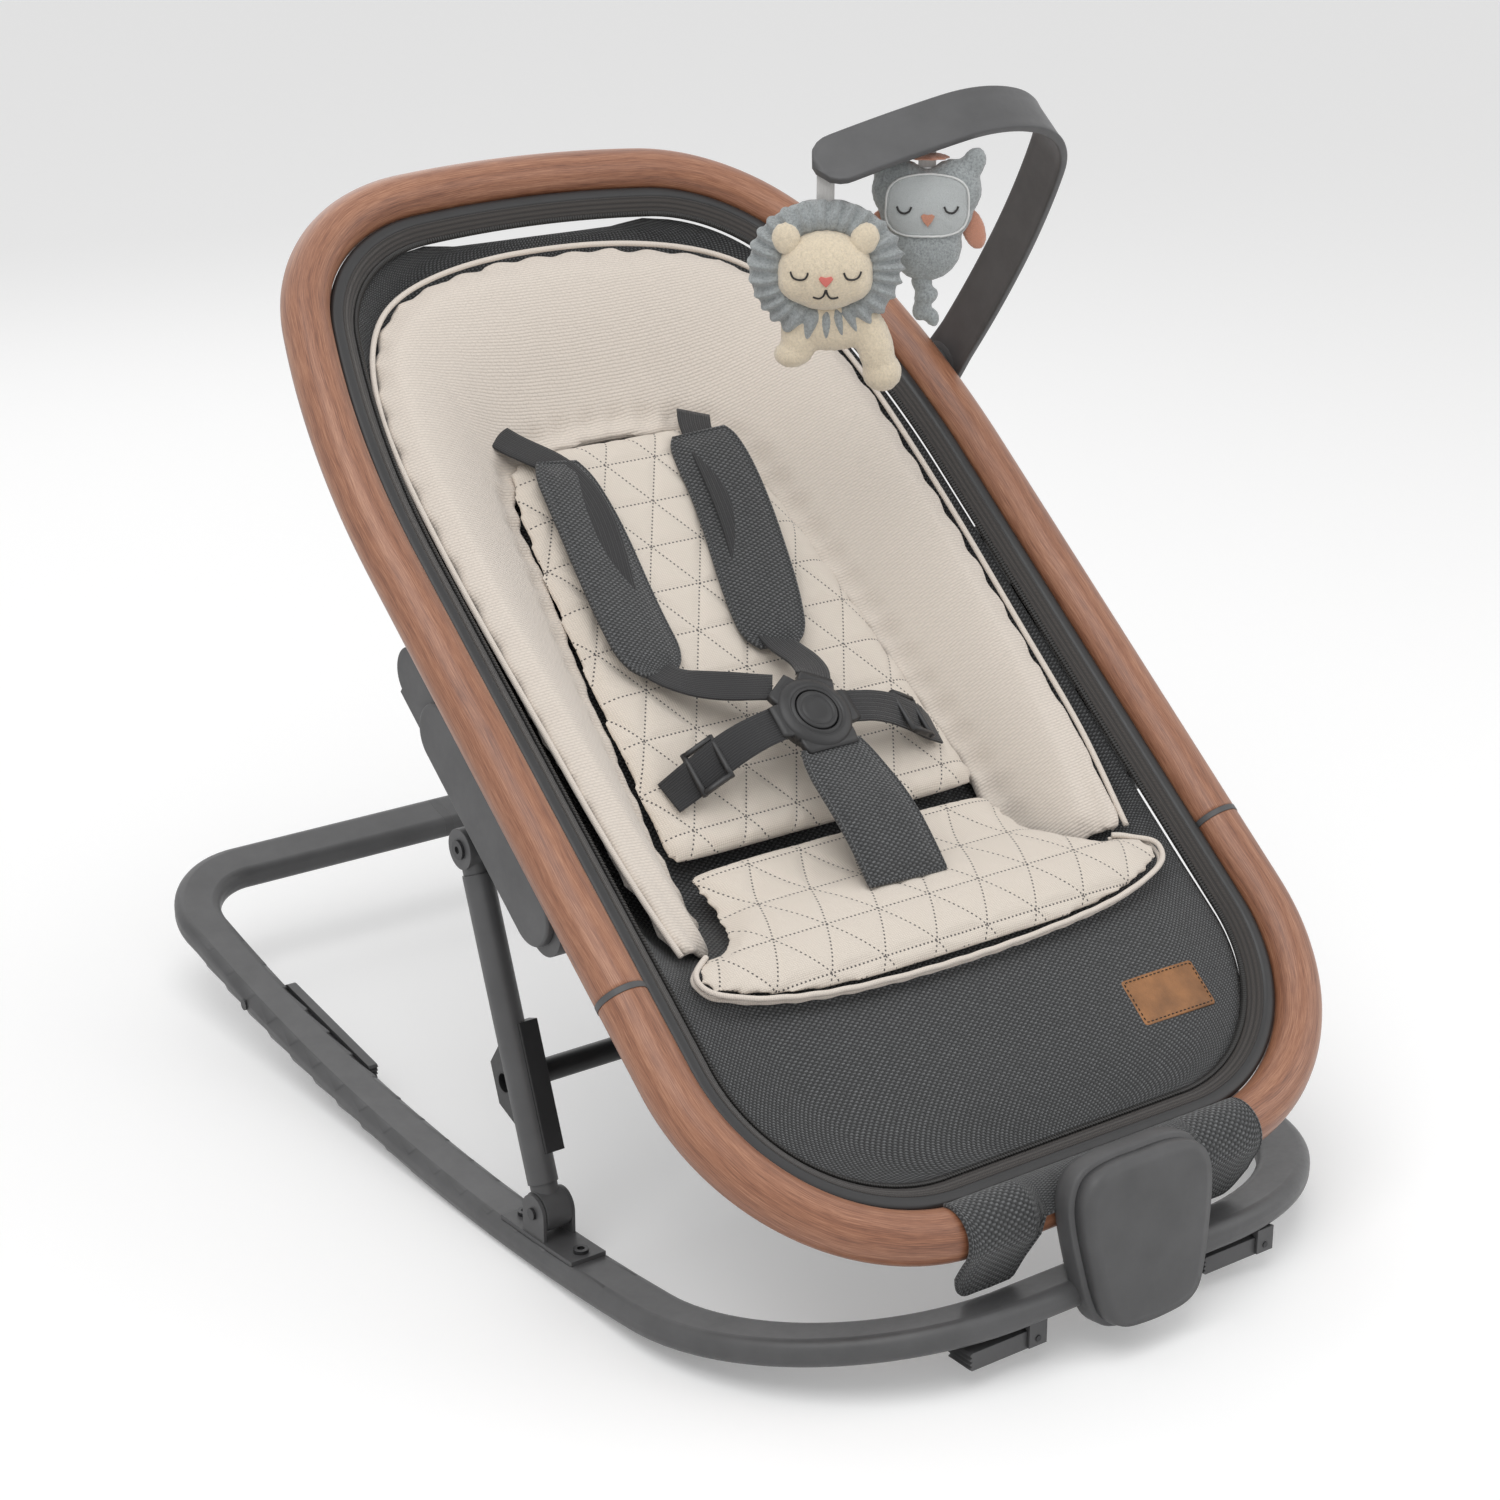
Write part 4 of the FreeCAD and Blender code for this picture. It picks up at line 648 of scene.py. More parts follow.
def rounded_bar(wide: float, high: float, radius: float, steps: int = 5, along: int = 0) -> np.ndarray:
    """Points of a rectangular section with round corners.

    Args:
        wide: size along its first axis.
        high: size along its second axis.
        radius: of the corners.
        steps: points of each corner.
        along: extra points on each wide side.

    Returns:
        The points, in order round the section.
    """
    points = []
    middles = ((1, 1, 0), (-1, 1, 90), (-1, -1, 180), (1, -1, 270))
    for sign_x, sign_y, start in middles:
        for turn in np.radians(np.linspace(start, start + 90, steps)):
            points.append((sign_x * (wide / 2 - radius) + radius * math.cos(turn),
                           sign_y * (high / 2 - radius) + radius * math.sin(turn)))
        if along and start in (0, 180):
            span = np.linspace(points[-1][0], -points[-1][0], along + 2)[1:-1]
            points += [(x, points[-1][1]) for x in span]
    return np.array(points)


def mesh_piece(name: str, verts: np.ndarray, faces: Sequence[Sequence[int]], maps: Sequence[np.ndarray] | None = None
               ) -> bpy.types.Object:
    """A smooth shaded object from points and faces.

    Args:
        name: the piece's name.
        verts: its points in metres.
        faces: indices of each face's points.
        maps: the cloth coordinates of each face's corners, face after face.

    Returns:
        The object, linked to the scene.
    """
    mesh = bpy.data.meshes.new(name)
    mesh.from_pydata([tuple(v) for v in verts], [], [tuple(int(i) for i in f) for f in faces])
    if maps is not None:
        layer = mesh.uv_layers.new(name=CLOTH_MAP)
        layer.uv.foreach_set("vector", np.asarray(maps, np.float32).ravel())
    mesh.update()
    piece = bpy.data.objects.new(name, mesh)
    bpy.context.scene.collection.objects.link(piece)
    mesh.shade_smooth()
    return piece


def turn_outwards(piece: bpy.types.Object) -> None:
    """Make the faces of a closed mesh point outwards."""
    work = bmesh.new()
    work.from_mesh(piece.data)
    bmesh.ops.recalc_face_normals(work, faces=work.faces)
    work.to_mesh(piece.data)
    work.free()
    piece.data.shade_smooth()


def grid_piece(name: str, points: np.ndarray, closed_rows: bool = False, closed_columns: bool = False,
               caps: bool = False, maps: tuple[np.ndarray, np.ndarray] | None = None) -> bpy.types.Object:
    """A surface through rows of points.

    Args:
        name: the piece's name.
        points: rows x columns x 3, in metres.
        closed_rows: the last row joins the first.
        closed_columns: the last column joins the first.
        caps: close the two end rows with a face each.
        maps: cloth coordinates of the rows and of the columns; their run lengths if left out.

    Returns:
        The object.
    """
    rows, columns = points.shape[:2]
    if maps is None:
        maps = (run_length(points[:, 0], closed_rows), run_length(points[rows // 2], closed_columns))
    along, across = maps
    i, j = np.meshgrid(np.arange(rows if closed_rows else rows - 1),
                       np.arange(columns if closed_columns else columns - 1), indexing="ij")
    i, j = i.ravel(), j.ravel()
    corners = [(i, j), (i, j + 1), (i + 1, j + 1), (i + 1, j)]
    faces = np.stack([(a % rows) * columns + b % columns for a, b in corners], 1)
    uv = np.stack([np.stack([across[b], along[a]], 1) for a, b in corners], 1).reshape(-1, 2)
    faces = [tuple(f) for f in faces]
    if caps:
        faces += [tuple(range(columns))[::-1], tuple(range((rows - 1) * columns, rows * columns))]
        uv = np.vstack([uv, np.zeros((2 * columns, 2))])
    piece = mesh_piece(name, points.reshape(-1, 3), faces, uv)
    if closed_columns and (caps or closed_rows):
        turn_outwards(piece)
    return piece


def sweep(name: str, line: np.ndarray, across: np.ndarray, out: np.ndarray, section: np.ndarray,
          closed: bool = False) -> bpy.types.Object:
    """A section carried along a line.

    Args:
        name: the piece's name.
        line: the points of the line, in metres.
        across: direction of the section's first axis at each point.
        out: direction of its second axis at each point.
        section: the section's points in metres, the same all along or one set for each point.
        closed: the line ends where it starts.

    Returns:
        The object, with closed ends.
    """
    section = np.broadcast_to(section, (len(line), *np.asarray(section).shape[-2:]))
    points = (line[:, None] + section[..., :1] * across[:, None] + section[..., 1:] * out[:, None])
    maps = (run_length(line, closed), run_length(section[len(line) // 2], True))
    return grid_piece(name, points, closed, True, not closed, maps)


def tube(name: str, line: np.ndarray, radius: float, count: int = 8, closed: bool = False) -> bpy.types.Object:
    """A round cord of a radius along a line in metres."""
    following = np.roll(line, -1, 0) - np.roll(line, 1, 0)
    if not closed:
        following[0], following[-1] = line[1] - line[0], line[-1] - line[-2]
    heading = following / np.linalg.norm(following, axis=1)[:, None]
    side = np.cross(heading[0], (0, 0, 1) if abs(heading[0][2]) < 0.9 else (1, 0, 0))
    sides = []
    for way in heading:
        side = side - way * np.dot(side, way)
        side = side / np.linalg.norm(side)
        sides.append(side)
    across = np.array(sides)
    return sweep(name, line, across, np.cross(heading, across), circle(radius, count), closed)


def lathe(name: str, centre: Vector, axis: Vector, profile: Sequence[tuple[float, float]], count: int = 48
          ) -> bpy.types.Object:
    """A turned piece: radius and height along its axis, in millimetres, from one end to the other."""
    side = axis.orthogonal().normalized()
    other = axis.cross(side)
    turn = np.linspace(0, 2 * math.pi, count, endpoint=False)
    ring = np.cos(turn)[:, None] * np.array(side) + np.sin(turn)[:, None] * np.array(other)
    rows = [np.array(centre) + MM * (radius * ring + height * np.array(axis)) for radius, height in profile]
    return grid_piece(name, np.array(rows), False, True, True)


def dress(piece: bpy.types.Object, slot: Slot, body: str, *stands_for: str, finish: object = None
          ) -> bpy.types.Object:
    """Give a piece its finish, its body and the CAD nodes that it stands for.

    Args:
        piece: the object.
        slot: the record's material slot.
        body: the CAD body that it rides on.
        stands_for: CAD nodes that it replaces.
        finish: a finish other than the slot's own.

    Returns:
        The same object.
    """
    piece.data.materials.clear()
    piece.data.materials.append(Finish.named(finish) if finish else Finish.of(slot))
    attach(piece, body)
    if stands_for:
        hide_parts(*stands_for)
    LOG.info("%s rides on %s", piece.name, body)
    return piece


def box_map(piece: bpy.types.Object) -> None:
    """Lay cloth coordinates over a soft piece from the side that each face looks to."""
    mesh = piece.data
    drawn = SEAT.drawn(vertices_of(mesh))
    normals = np.zeros(len(mesh.polygons) * 3)
    mesh.polygons.foreach_get("normal", normals)
    axes = np.abs(normals.reshape(-1, 3) @ np.array([PLAIN_AXES["X"], SEAT.up, SEAT.out]).T)
    starts = np.zeros(len(mesh.polygons), int)
    totals = np.zeros(len(mesh.polygons), int)
    mesh.polygons.foreach_get("loop_start", starts)
    mesh.polygons.foreach_get("loop_total", totals)
    corner = np.zeros(len(mesh.loops), int)
    mesh.loops.foreach_get("vertex_index", corner)
    facing = np.repeat(np.argmax(axes * (0.75, 0.8, 1.0), 1), totals)
    first = np.where(facing == 0, 2, 0)
    second = np.where(facing == 1, 2, 1)
    spots = drawn[corner] * MM
    index = np.arange(len(corner))
    layer = mesh.uv_layers.get(CLOTH_MAP) or mesh.uv_layers.new(name=CLOTH_MAP)
    layer.uv.foreach_set("vector", np.stack([spots[index, first], spots[index, second]], 1).astype(np.float32).ravel())


def vertices_of(mesh: bpy.types.Mesh) -> np.ndarray:
    """The mesh's points as an array."""
    spots = np.zeros(len(mesh.vertices) * 3, np.float32)
    mesh.vertices.foreach_get("co", spots)
    return spots.reshape(-1, 3).astype(float)


def normals_of(mesh: bpy.types.Mesh) -> np.ndarray:
    """The mesh's point normals as an array."""
    normals = np.zeros(len(mesh.vertices) * 3, np.float32)
    mesh.vertex_normals.foreach_get("vector", normals)
    return normals.reshape(-1, 3).astype(float)


def move_to(mesh: bpy.types.Mesh, spots: np.ndarray) -> None:
    """Give the mesh new places for its points."""
    mesh.vertices.foreach_set("co", spots.astype(np.float32).ravel())
    mesh.update()


def settle(piece: bpy.types.Object) -> None:
    """Replace the piece's mesh with what its modifiers make of it."""
    made = bpy.data.meshes.new_from_object(piece.evaluated_get(bpy.context.evaluated_depsgraph_get()))
    old = piece.data
    piece.modifiers.clear()
    piece.data = made
    bpy.data.meshes.remove(old)
    made.name = piece.name


@dataclass(frozen=True)
class Stuffing:
    """Soft filling: the piece is remeshed, blown up as cloth and smoothed."""

    voxel: float = 0.0045
    pressure: float = 4.0
    frames: int = 20
    cap: float = 0.007
    underside: float = 0.0005

    def swell(self, piece: bpy.types.Object, held: Callable[[np.ndarray], np.ndarray] | None = None
              ) -> bpy.types.Object:
        """Blow the piece up.

        Args:
            piece: a closed mesh, a little smaller than the stuffed piece.
            held: how free each point is, from 0 to 1, by its place in the seat's plane.

        Returns:
            The same object with its final mesh.
        """
        remesh = piece.modifiers.new("Remesh", "REMESH")
        remesh.mode = "VOXEL"
        remesh.voxel_size = self.voxel
        settle(piece)
        flat = vertices_of(piece.data)
        cloth = piece.modifiers.new("Cloth", "CLOTH")
        cloth.settings.use_pressure = True
        cloth.settings.uniform_pressure_force = self.pressure
        cloth.settings.effector_weights.gravity = 0.0
        cloth.point_cache.frame_start = 1
        cloth.point_cache.frame_end = self.frames
        scene = bpy.context.scene
        for step in range(1, self.frames + 1):
            scene.frame_set(step)
        settle(piece)
        scene.frame_set(1)
        moved = vertices_of(piece.data) - flat
        length = np.linalg.norm(moved, axis=1)[:, None]
        moved *= np.minimum(1.0, self.cap / np.maximum(length, 1e-9))
        sunk = moved @ np.array(SEAT.out)
        moved += np.outer(np.maximum(-sunk - self.underside, 0.0), np.array(SEAT.out))
        if held is not None:
            moved *= held(SEAT.drawn(flat))[:, None]
        move_to(piece.data, flat + moved)
        smooth = piece.modifiers.new("Smooth", "SMOOTH")
        smooth.factor, smooth.iterations = 0.5, 3
        finer = piece.modifiers.new("Subdivision", "SUBSURF")
        finer.levels = finer.render_levels = 1
        settle(piece)
        piece.data.shade_smooth()
        return piece


# ---------------------------------------------------------------- seat frame
@dataclass(frozen=True)
class SeatOutline:
    """Centre line of the seat frame's tube, drawn in the seat's plane from straights and arcs."""

    half: float = 245.0
    front_bend: float = 147.0
    straight_end: float = 534.0
    side_arc: float = 700.0
    side_turn: float = math.radians(16)
    top_bend: float = 140.0
    top_turn: float = math.radians(6)
    step: float = 4.0

    def arcs(self) -> list[tuple[float, float, float, float, float]]:
        """Centre, radius, first and last angle of the right half's arcs, from front to top."""
        side_x, side_s = self.half - self.side_arc, self.straight_end
        reach = self.side_arc - self.top_bend
        corner_x = side_x + reach * math.cos(self.side_turn)
        corner_s = side_s + reach * math.sin(self.side_turn)
        end = math.pi / 2 - self.top_turn
        last_x = corner_x + self.top_bend * math.cos(end)
        crown = last_x / math.sin(self.top_turn)
        crown_s = corner_s + self.top_bend * math.sin(end) - crown * math.cos(self.top_turn)
        return [(self.half - self.front_bend, self.front_bend, self.front_bend, -math.pi / 2, 0.0),
                (side_x, side_s, self.side_arc, 0.0, self.side_turn),
                (corner_x, corner_s, self.top_bend, self.side_turn, end),
                (0.0, crown_s, crown, end, math.pi / 2)]

    def right_half(self) -> np.ndarray:
        """Points and inward directions (x, s, inward x, inward s) from the front's middle to the top's."""
        arcs = self.arcs()
        rows = [(x, 0.0, 0.0, 1.0) for x in np.arange(0.0, arcs[0][0], self.step)]
        for number, (x, s, radius, first, last) in enumerate(arcs):
            count = max(3, int(radius * (last - first) / self.step))
            for turn in np.linspace(first, last, count, endpoint=number == len(arcs) - 1):
                rows.append((x + radius * math.cos(turn), s + radius * math.sin(turn), -math.cos(turn), -math.sin(turn)))
            if number == 0:
                rows += [(self.half, at, -1.0, 0.0) for at in np.arange(s, self.straight_end, self.step)]
        return np.array(rows)

    def loop(self) -> np.ndarray:
        """The whole outline, from the front's middle by the right and the top."""
        right = self.right_half()
        left = right[1:-1][::-1] * (-1, 1, -1, 1)
        return np.vstack([right, left])

    def half_width(self, station: np.ndarray, offset: float) -> np.ndarray:
        """Half width inside the outline moved inwards, at places along the seat."""
        rows = self.right_half()
        moved = rows[:, :2] + offset * rows[:, 2:]
        keep = moved[:, 1] > offset + 1e-6
        return np.interp(station, moved[keep, 1], moved[keep, 0])


OUTLINE = SeatOutline()


@dataclass
class Hoops:
    """What follows the seat frame's outline: wood tube, dark trim, zip tape and its coil."""

    tube: float = 16.5
    seam: float = 206.0
    collar: float = 3.0
    trim_at: float = 21.8
    trim: tuple[float, float, float] = (10.0, 8.0, 3.6)
    tape_from: tuple[float, float] = (26.0, 1.5)
    tape_to: tuple[float, float] = (37.0, -8.0)
    tape_thick: float = 1.3
    coil_share: float = 0.86
    tooth: float = 2.2

    def follow(self, name: str, loop: np.ndarray, section: np.ndarray, closed: bool) -> bpy.types.Object:
        """Sweep a section (inward, out) in millimetres along part of the outline."""
        line = SEAT.place(np.column_stack([loop[:, :2], np.zeros(len(loop))]))
        inward = loop[:, 2:3] * np.array(PLAIN_AXES["X"]) + loop[:, 3:4] * np.array(SEAT.up)
        out = np.broadcast_to(np.array(SEAT.out), inward.shape)
        return sweep(name, line, inward, out, section * MM, closed)

    def wood(self) -> None:
        """The wood-look tube in its upper and lower part, cut at the joint rings."""
        loop = OUTLINE.loop()
        seam_index = int(np.argmin(np.abs(loop[:len(loop) // 2, 1] - self.seam) + (loop[:len(loop) // 2, 0] < 200) * 999))
        gap = self.collar / 2
        for name, sign in (("wood_tube_upper", 1), ("wood_tube_lower", -1)):
            end = np.array([[OUTLINE.half, self.seam + sign * gap, -1.0, 0.0]])
            other = end * (-1, 1, -1, 1)
            count = len(loop)
            if sign > 0:
                inner = loop[seam_index + 1:count - seam_index]
                inner = inner[(inner[:, 1] > self.seam + gap + 0.5)]
                path = np.vstack([end, inner, other])
            else:
                inner = np.vstack([loop[count - seam_index:], loop[:seam_index + 1]])
                inner = inner[(inner[:, 1] < self.seam - gap - 0.5)]
                path = np.vstack([other, inner, end])
            piece = self.follow(name, path, circle(self.tube, 32), False)
            dress(piece, Slot.WOOD, "seat", "ring_upper" if sign > 0 else "ring_lower")

    def trims(self) -> None:
        """Dark rounded trim between the tube and the zip tape."""
        loop = OUTLINE.loop()
        section = rounded_bar(*self.trim) + (self.trim_at, -1.0)
        dress(self.follow("trim_band", loop, section, True), Slot.BLACK_PLASTIC, "seat", "inner_trim")

    def tape(self) -> None:
        """Slanted zip tape with its coil near the inner edge."""
        loop = OUTLINE.loop()
        start, end = np.array(self.tape_from), np.array(self.tape_to)
        way = (end - start) / np.linalg.norm(end - start)
        side = np.array((-way[1], way[0]))
        flat = rounded_bar(np.linalg.norm(end - start), self.tape_thick, 0.5, 3, 4)
        section = (start + end) / 2 + flat[:, :1] * way + flat[:, 1:] * side
        dress(self.follow("zip_tape_band", loop, section, True), Slot.ZIP, "seat", "zip_tape")
        middle = start + (end - start) * self.coil_share + side * 1.3
        dress(self.follow("zip_coil_cord", loop, circle(1.1, 8) + middle, True), Slot.ZIP, "seat", finish=ZIP_METAL)
        self.teeth(loop, middle, way, side)

    def teeth(self, loop: np.ndarray, middle: np.ndarray, way: np.ndarray, side: np.ndarray) -> None:
        """Small teeth along the coil, joined into one piece."""
        length = run_length(loop[:, :2], True)
        closed = np.vstack([loop, loop[:1]])
        at = np.arange(0, length[-1], self.tooth)
        rows = np.stack([np.interp(at, length, closed[:, k]) for k in range(4)], 1)
        verts, faces = [], []
        corner = np.array([(a, b, c) for a in (-1.9, 1.9) for b in (0.1, 1.5) for c in (-0.65, 0.65)])
        for x, s, inward_x, inward_s in rows:
            flat = middle + corner[:, :1] * way + corner[:, 1:2] * side
            along = np.array((inward_s, -inward_x))
            drawn = np.column_stack([x + flat[:, 0] * inward_x + corner[:, 2] * along[0],
                                     s + flat[:, 0] * inward_s + corner[:, 2] * along[1], flat[:, 1]])
            first = len(verts)
            verts += list(SEAT.place(drawn))
            faces += [tuple(first + i for i in face) for face in
                      ((0, 1, 3, 2), (4, 6, 7, 5), (0, 4, 5, 1), (2, 3, 7, 6), (0, 2, 6, 4), (1, 5, 7, 3))]
        piece = mesh_piece("zip_teeth", np.array(verts), faces)
        turn_outwards(piece)
        dress(piece, Slot.ZIP, "seat", finish=ZIP_METAL)

    def build(self) -> None:
        """Make every hoop."""
        self.wood()
        self.trims()
        self.tape()


# ---------------------------------------------------------------- dark seat fabric
@dataclass
class SeatFabric:
    """The dark fabric that spans the frame: foot panel, crease and long back."""

    edge_at: float = 36.0
    thick: float = 2.2
    columns: int = 61
    stations: tuple[tuple[float, float, float, float], ...] = (
        (36.5, -9, 0.50, -8.6), (52, -9, 0.55, -7.2), (80, -9.5, 0.6, -5.4), (120, -10, 0.6, -5.4),
        (165, -10.5, 0.62, -8.6), (195, -11, 0.66, -18), (230, -11, 0.74, -37), (262, -11, 0.76, -61),
        (300, -11, 0.76, -76), (380, -11, 0.74, -78), (520, -11, 0.72, -76), (640, -11, 0.7, -70),
        (720, -11, 0.68, -50), (770, -11, 0.7, -30), (792, -11, 0.7, -15))

    def surface(self) -> np.ndarray:
        """Upper face as rows of points (x, s, n)."""
        table = np.array(self.stations)
        along = np.concatenate([np.linspace(36.5, 60, 12), np.linspace(64, 740, 120), np.linspace(745, 792, 14)])
        edge = OUTLINE.half_width(along, self.edge_at)
        edge_level, share, floor = (spline(table[:, 0], table[:, k], along) for k in (1, 2, 3))
        across = np.linspace(-1, 1, self.columns)
        wall = np.clip((np.abs(across)[None] - share[:, None]) / (1 - share[:, None]), 0, 1)
        soft = 0.25
        rise = (np.sqrt(wall ** 2 + soft ** 2) - soft) / (math.sqrt(1 + soft ** 2) - soft)
        level = floor[:, None] + (edge_level - floor)[:, None] * rise
        level += 0.5 * np.sin(along / 23.0)[:, None] * np.cos(across * 9)[None] * (1 - rise)
        return np.stack([edge[:, None] * across, np.broadcast_to(along[:, None], level.shape), level], 2)

    def build(self) -> None:
        """Make the fabric as a stretched sheet with its own thickness."""
        rows = self.surface()
        upper = SEAT.place(rows.reshape(-1, 3)).reshape(rows.shape)
        middle = rows.shape[1] // 2
        along = run_length(upper[:, middle])
        across = run_length(upper[len(upper) // 2])
        piece = grid_piece("seat_fabric", upper, maps=(along, across - across[middle]))
        solid = piece.modifiers.new("Thickness", "SOLIDIFY")
        solid.thickness = self.thick * MM
        solid.offset = -1.0
        dress(piece, Slot.CHARCOAL, "seat", "seat_sling")


@dataclass
class FrontFlap:
    """Fabric flap that wraps the front tube and is arched round the front cover."""

    half: float = 118.0
    arch: float = 61.0
    lift: float = 2.4
    columns: int = 97
    rows: int = 44
    inner_turn: float = math.radians(150)
    hang: float = 34.0

    def point(self, x: float, v: float, drop: float, outward: float) -> tuple[float, float, float]:
        """A point of the cloth at a share v of the way from its inner edge over the tube and down."""
        radius = Hoops.tube + self.lift
        over = self.inner_turn
        wrapped = over * radius
        run = v * (wrapped + drop)
        if run < wrapped:
            turn = math.radians(28) + run / radius
            return x, radius * math.cos(turn), radius * math.sin(turn)
        left = run - wrapped
        turn = math.radians(28) + over
        s, n = radius * math.cos(turn), radius * math.sin(turn)
        return x, s - left * 0.16 - outward * (left / self.hang) ** 2 * 3, n - left

    def build(self) -> None:
        """Make the flap with its hem."""
        across = np.linspace(-self.half, self.half, self.columns)
        rows = []
        for v in np.linspace(0, 1, self.rows):
            line = []
            for x in across:
                side = abs(x) / self.half
                lobe = np.clip((abs(x) - self.arch) / 9.0, 0, 1)
                lobe = lobe * lobe * (3 - 2 * lobe)
                corner = 1 - max(0.0, (side - 0.86) / 0.14) ** 2.4 * 0.55
                drop = (-17.0 + (self.hang + 17.0) * lobe) * (corner if lobe > 0.5 else 1.0)
                ripple = 0.8 * math.sin(x / 7.5) * v + 0.5 * math.sin(x / 3.1 + 4 * v)
                x_at, s, n = self.point(x, v, drop, 1.0)
                line.append((x_at * (1 + 0.02 * v * lobe), s - 0.15 * ripple * lobe, n + 0.12 * ripple))
            rows.append(line)
        points = np.array(rows)
        placed = SEAT.place(points.reshape(-1, 3)).reshape(points.shape)
        piece = grid_piece("front_flap_cloth", placed)
        solid = piece.modifiers.new("Thickness", "SOLIDIFY")
        solid.thickness = 2.0 * MM
        solid.offset = 0.0
        dress(piece, Slot.CHARCOAL, "seat", "front_flap")
        rim = np.vstack([placed[:, 0], placed[-1, 1:], placed[::-1, -1][1:]])
        hem = tube("front_flap_hem", rim[:-1], 1.5 * MM, 8)
        dress(hem, Slot.CHARCOAL, "seat")


# ---------------------------------------------------------------- newborn insert
@dataclass
class Bolster:
    """Padded surround: an outer piped edge, a rolled rim and a slope down to the quilt."""

    outer: tuple[tuple[float, float], ...] = (
        (184, 226), (189, 262), (193, 300), (196, 380), (199, 478), (199, 560), (195, 630), (182, 688),
        (150, 738), (96, 764), (0, 775))
    inner: tuple[tuple[float, float], ...] = (
        (134, 226), (136, 262), (136, 300), (130, 380), (122, 478), (112, 560), (102, 612), (82, 638),
        (46, 650), (22, 653), (0, 654))
    rim_level: float = -11.0
    floor_level: float = -61.0
    count: int = 260
    profile: tuple[tuple[float, float], ...] = (
        (0.0, -0.5), (0.04, 1.6), (0.10, 2.8), (0.18, 2.2), (0.30, -2.6), (0.45, -11.0), (0.62, -23.0),
        (0.78, -35.5), (0.92, -45.5), (1.0, -50.0), (1.12, -51.5))
    wall: float = 11.0
    thick: float = 7.0

    def paths(self) -> tuple[np.ndarray, np.ndarray]:
        """Outer and inner edge as matching points (x, s), from the right front round the top."""
        result = []
        for half in (self.outer, self.inner):
            left = [(-x, s) for x, s in half[:-1]][::-1]
            drawn = curve_through([*half, *left], self.count)
            result.append(drawn)
        return result[0], result[1]

    def build(self) -> None:
        """Make the padded shell, its piping and the band under the piping."""
        outer, inner = self.paths()
        table = np.array(self.profile)
        share = np.concatenate([np.linspace(0, 0.2, 9), np.linspace(0.24, 1.12, 26)])
        height = spline(table[:, 0], table[:, 1], share)
        along = run_length(outer)
        low_end = np.clip(np.minimum(along, along[-1] - along) / 90.0, 0, 1)
        low_end = low_end * low_end * (3 - 2 * low_end)
        rim = self.rim_level - 2.0 * (1 - low_end)
        way = inner - outer
        top = np.empty((len(outer), len(share), 3))
        top[..., :2] = outer[:, None] + share[None, :, None] * way[:, None]
        top[..., 2] = rim[:, None] + height[None]
        puff = 3.2 * np.sin(np.pi * np.clip((share - 0.2) / 0.8, 0, 1)) ** 1.2
        top[..., 2] += puff[None] * (0.75 + 0.25 * np.sin(along / 60.0))[:, None]
        ruche = 0.55 * np.sin(along / 1.9 + 1.7 * np.sin(along / 17)) * (0.5 + 0.5 * np.sin(along / 29))
        top[..., 2] += ruche[:, None] * np.exp(-((share - 0.03) / 0.05) ** 2)[None]
        tuck = 0.9 * np.sin(along / 5.2 + 2.1 * np.sin(along / 31)) * (0.5 + 0.5 * np.sin(along / 47 + 1))
        top[..., 2] += tuck[:, None] * np.exp(-((share - 1.0) / 0.10) ** 2)[None]
        band = np.linspace(0, 1, 5)[1:]
        side = np.empty((len(outer), len(band), 3))
        ripple = 0.7 * np.sin(along / 3.6 + 1.3 * np.sin(along / 23))
        unit = way / np.linalg.norm(way, axis=1)[:, None]
        side[..., :2] = outer[:, None] + (ripple[:, None] * np.sin(np.pi * band)[None]
                                          + 1.5 * band[None])[..., None] * unit[:, None]
        side[..., 2] = (rim - 1.5)[:, None] - self.wall * band[None]
        under = top[:, ::-1].copy()[:, :-6]
        under[..., 2] -= self.thick + 3.0
        points = np.concatenate([side[:, ::-1], top, under], 1)
        placed = SEAT.place(points.reshape(-1, 3)).reshape(points.shape)
        shell = grid_piece("bolster", placed, closed_columns=True, caps=True)
        Stuffing(voxel=0.005, cap=0.0045).swell(shell, self.freedom)
        box_map(shell)
        dress(shell, Slot.KNIT, "seat", "insert_bolster")
        edge = np.column_stack([outer, rim + 0.3])
        edge[:, :2] -= unit * 0.8
        piping = tube("bolster_piping", SEAT.place(edge), 2.0 * MM, 10)
        dress(piping, Slot.KNIT, "seat", finish=PALE_KNIT)

    def freedom(self, drawn: np.ndarray) -> np.ndarray:
        """How far each point may swell: none at the piping, the floor and the underside."""
        outer, inner = self.paths()
        gap = np.min(np.linalg.norm(drawn[:, None, :2] - outer[None, ::6], axis=2), axis=1)
        near = np.clip((gap - 3.0) / 14.0, 0, 1)
        floor = np.min(np.linalg.norm(drawn[:, None, :2] - inner[None, ::6], axis=2), axis=1)
        return near * np.clip((floor - 2.0) / 10.0, 0, 1)


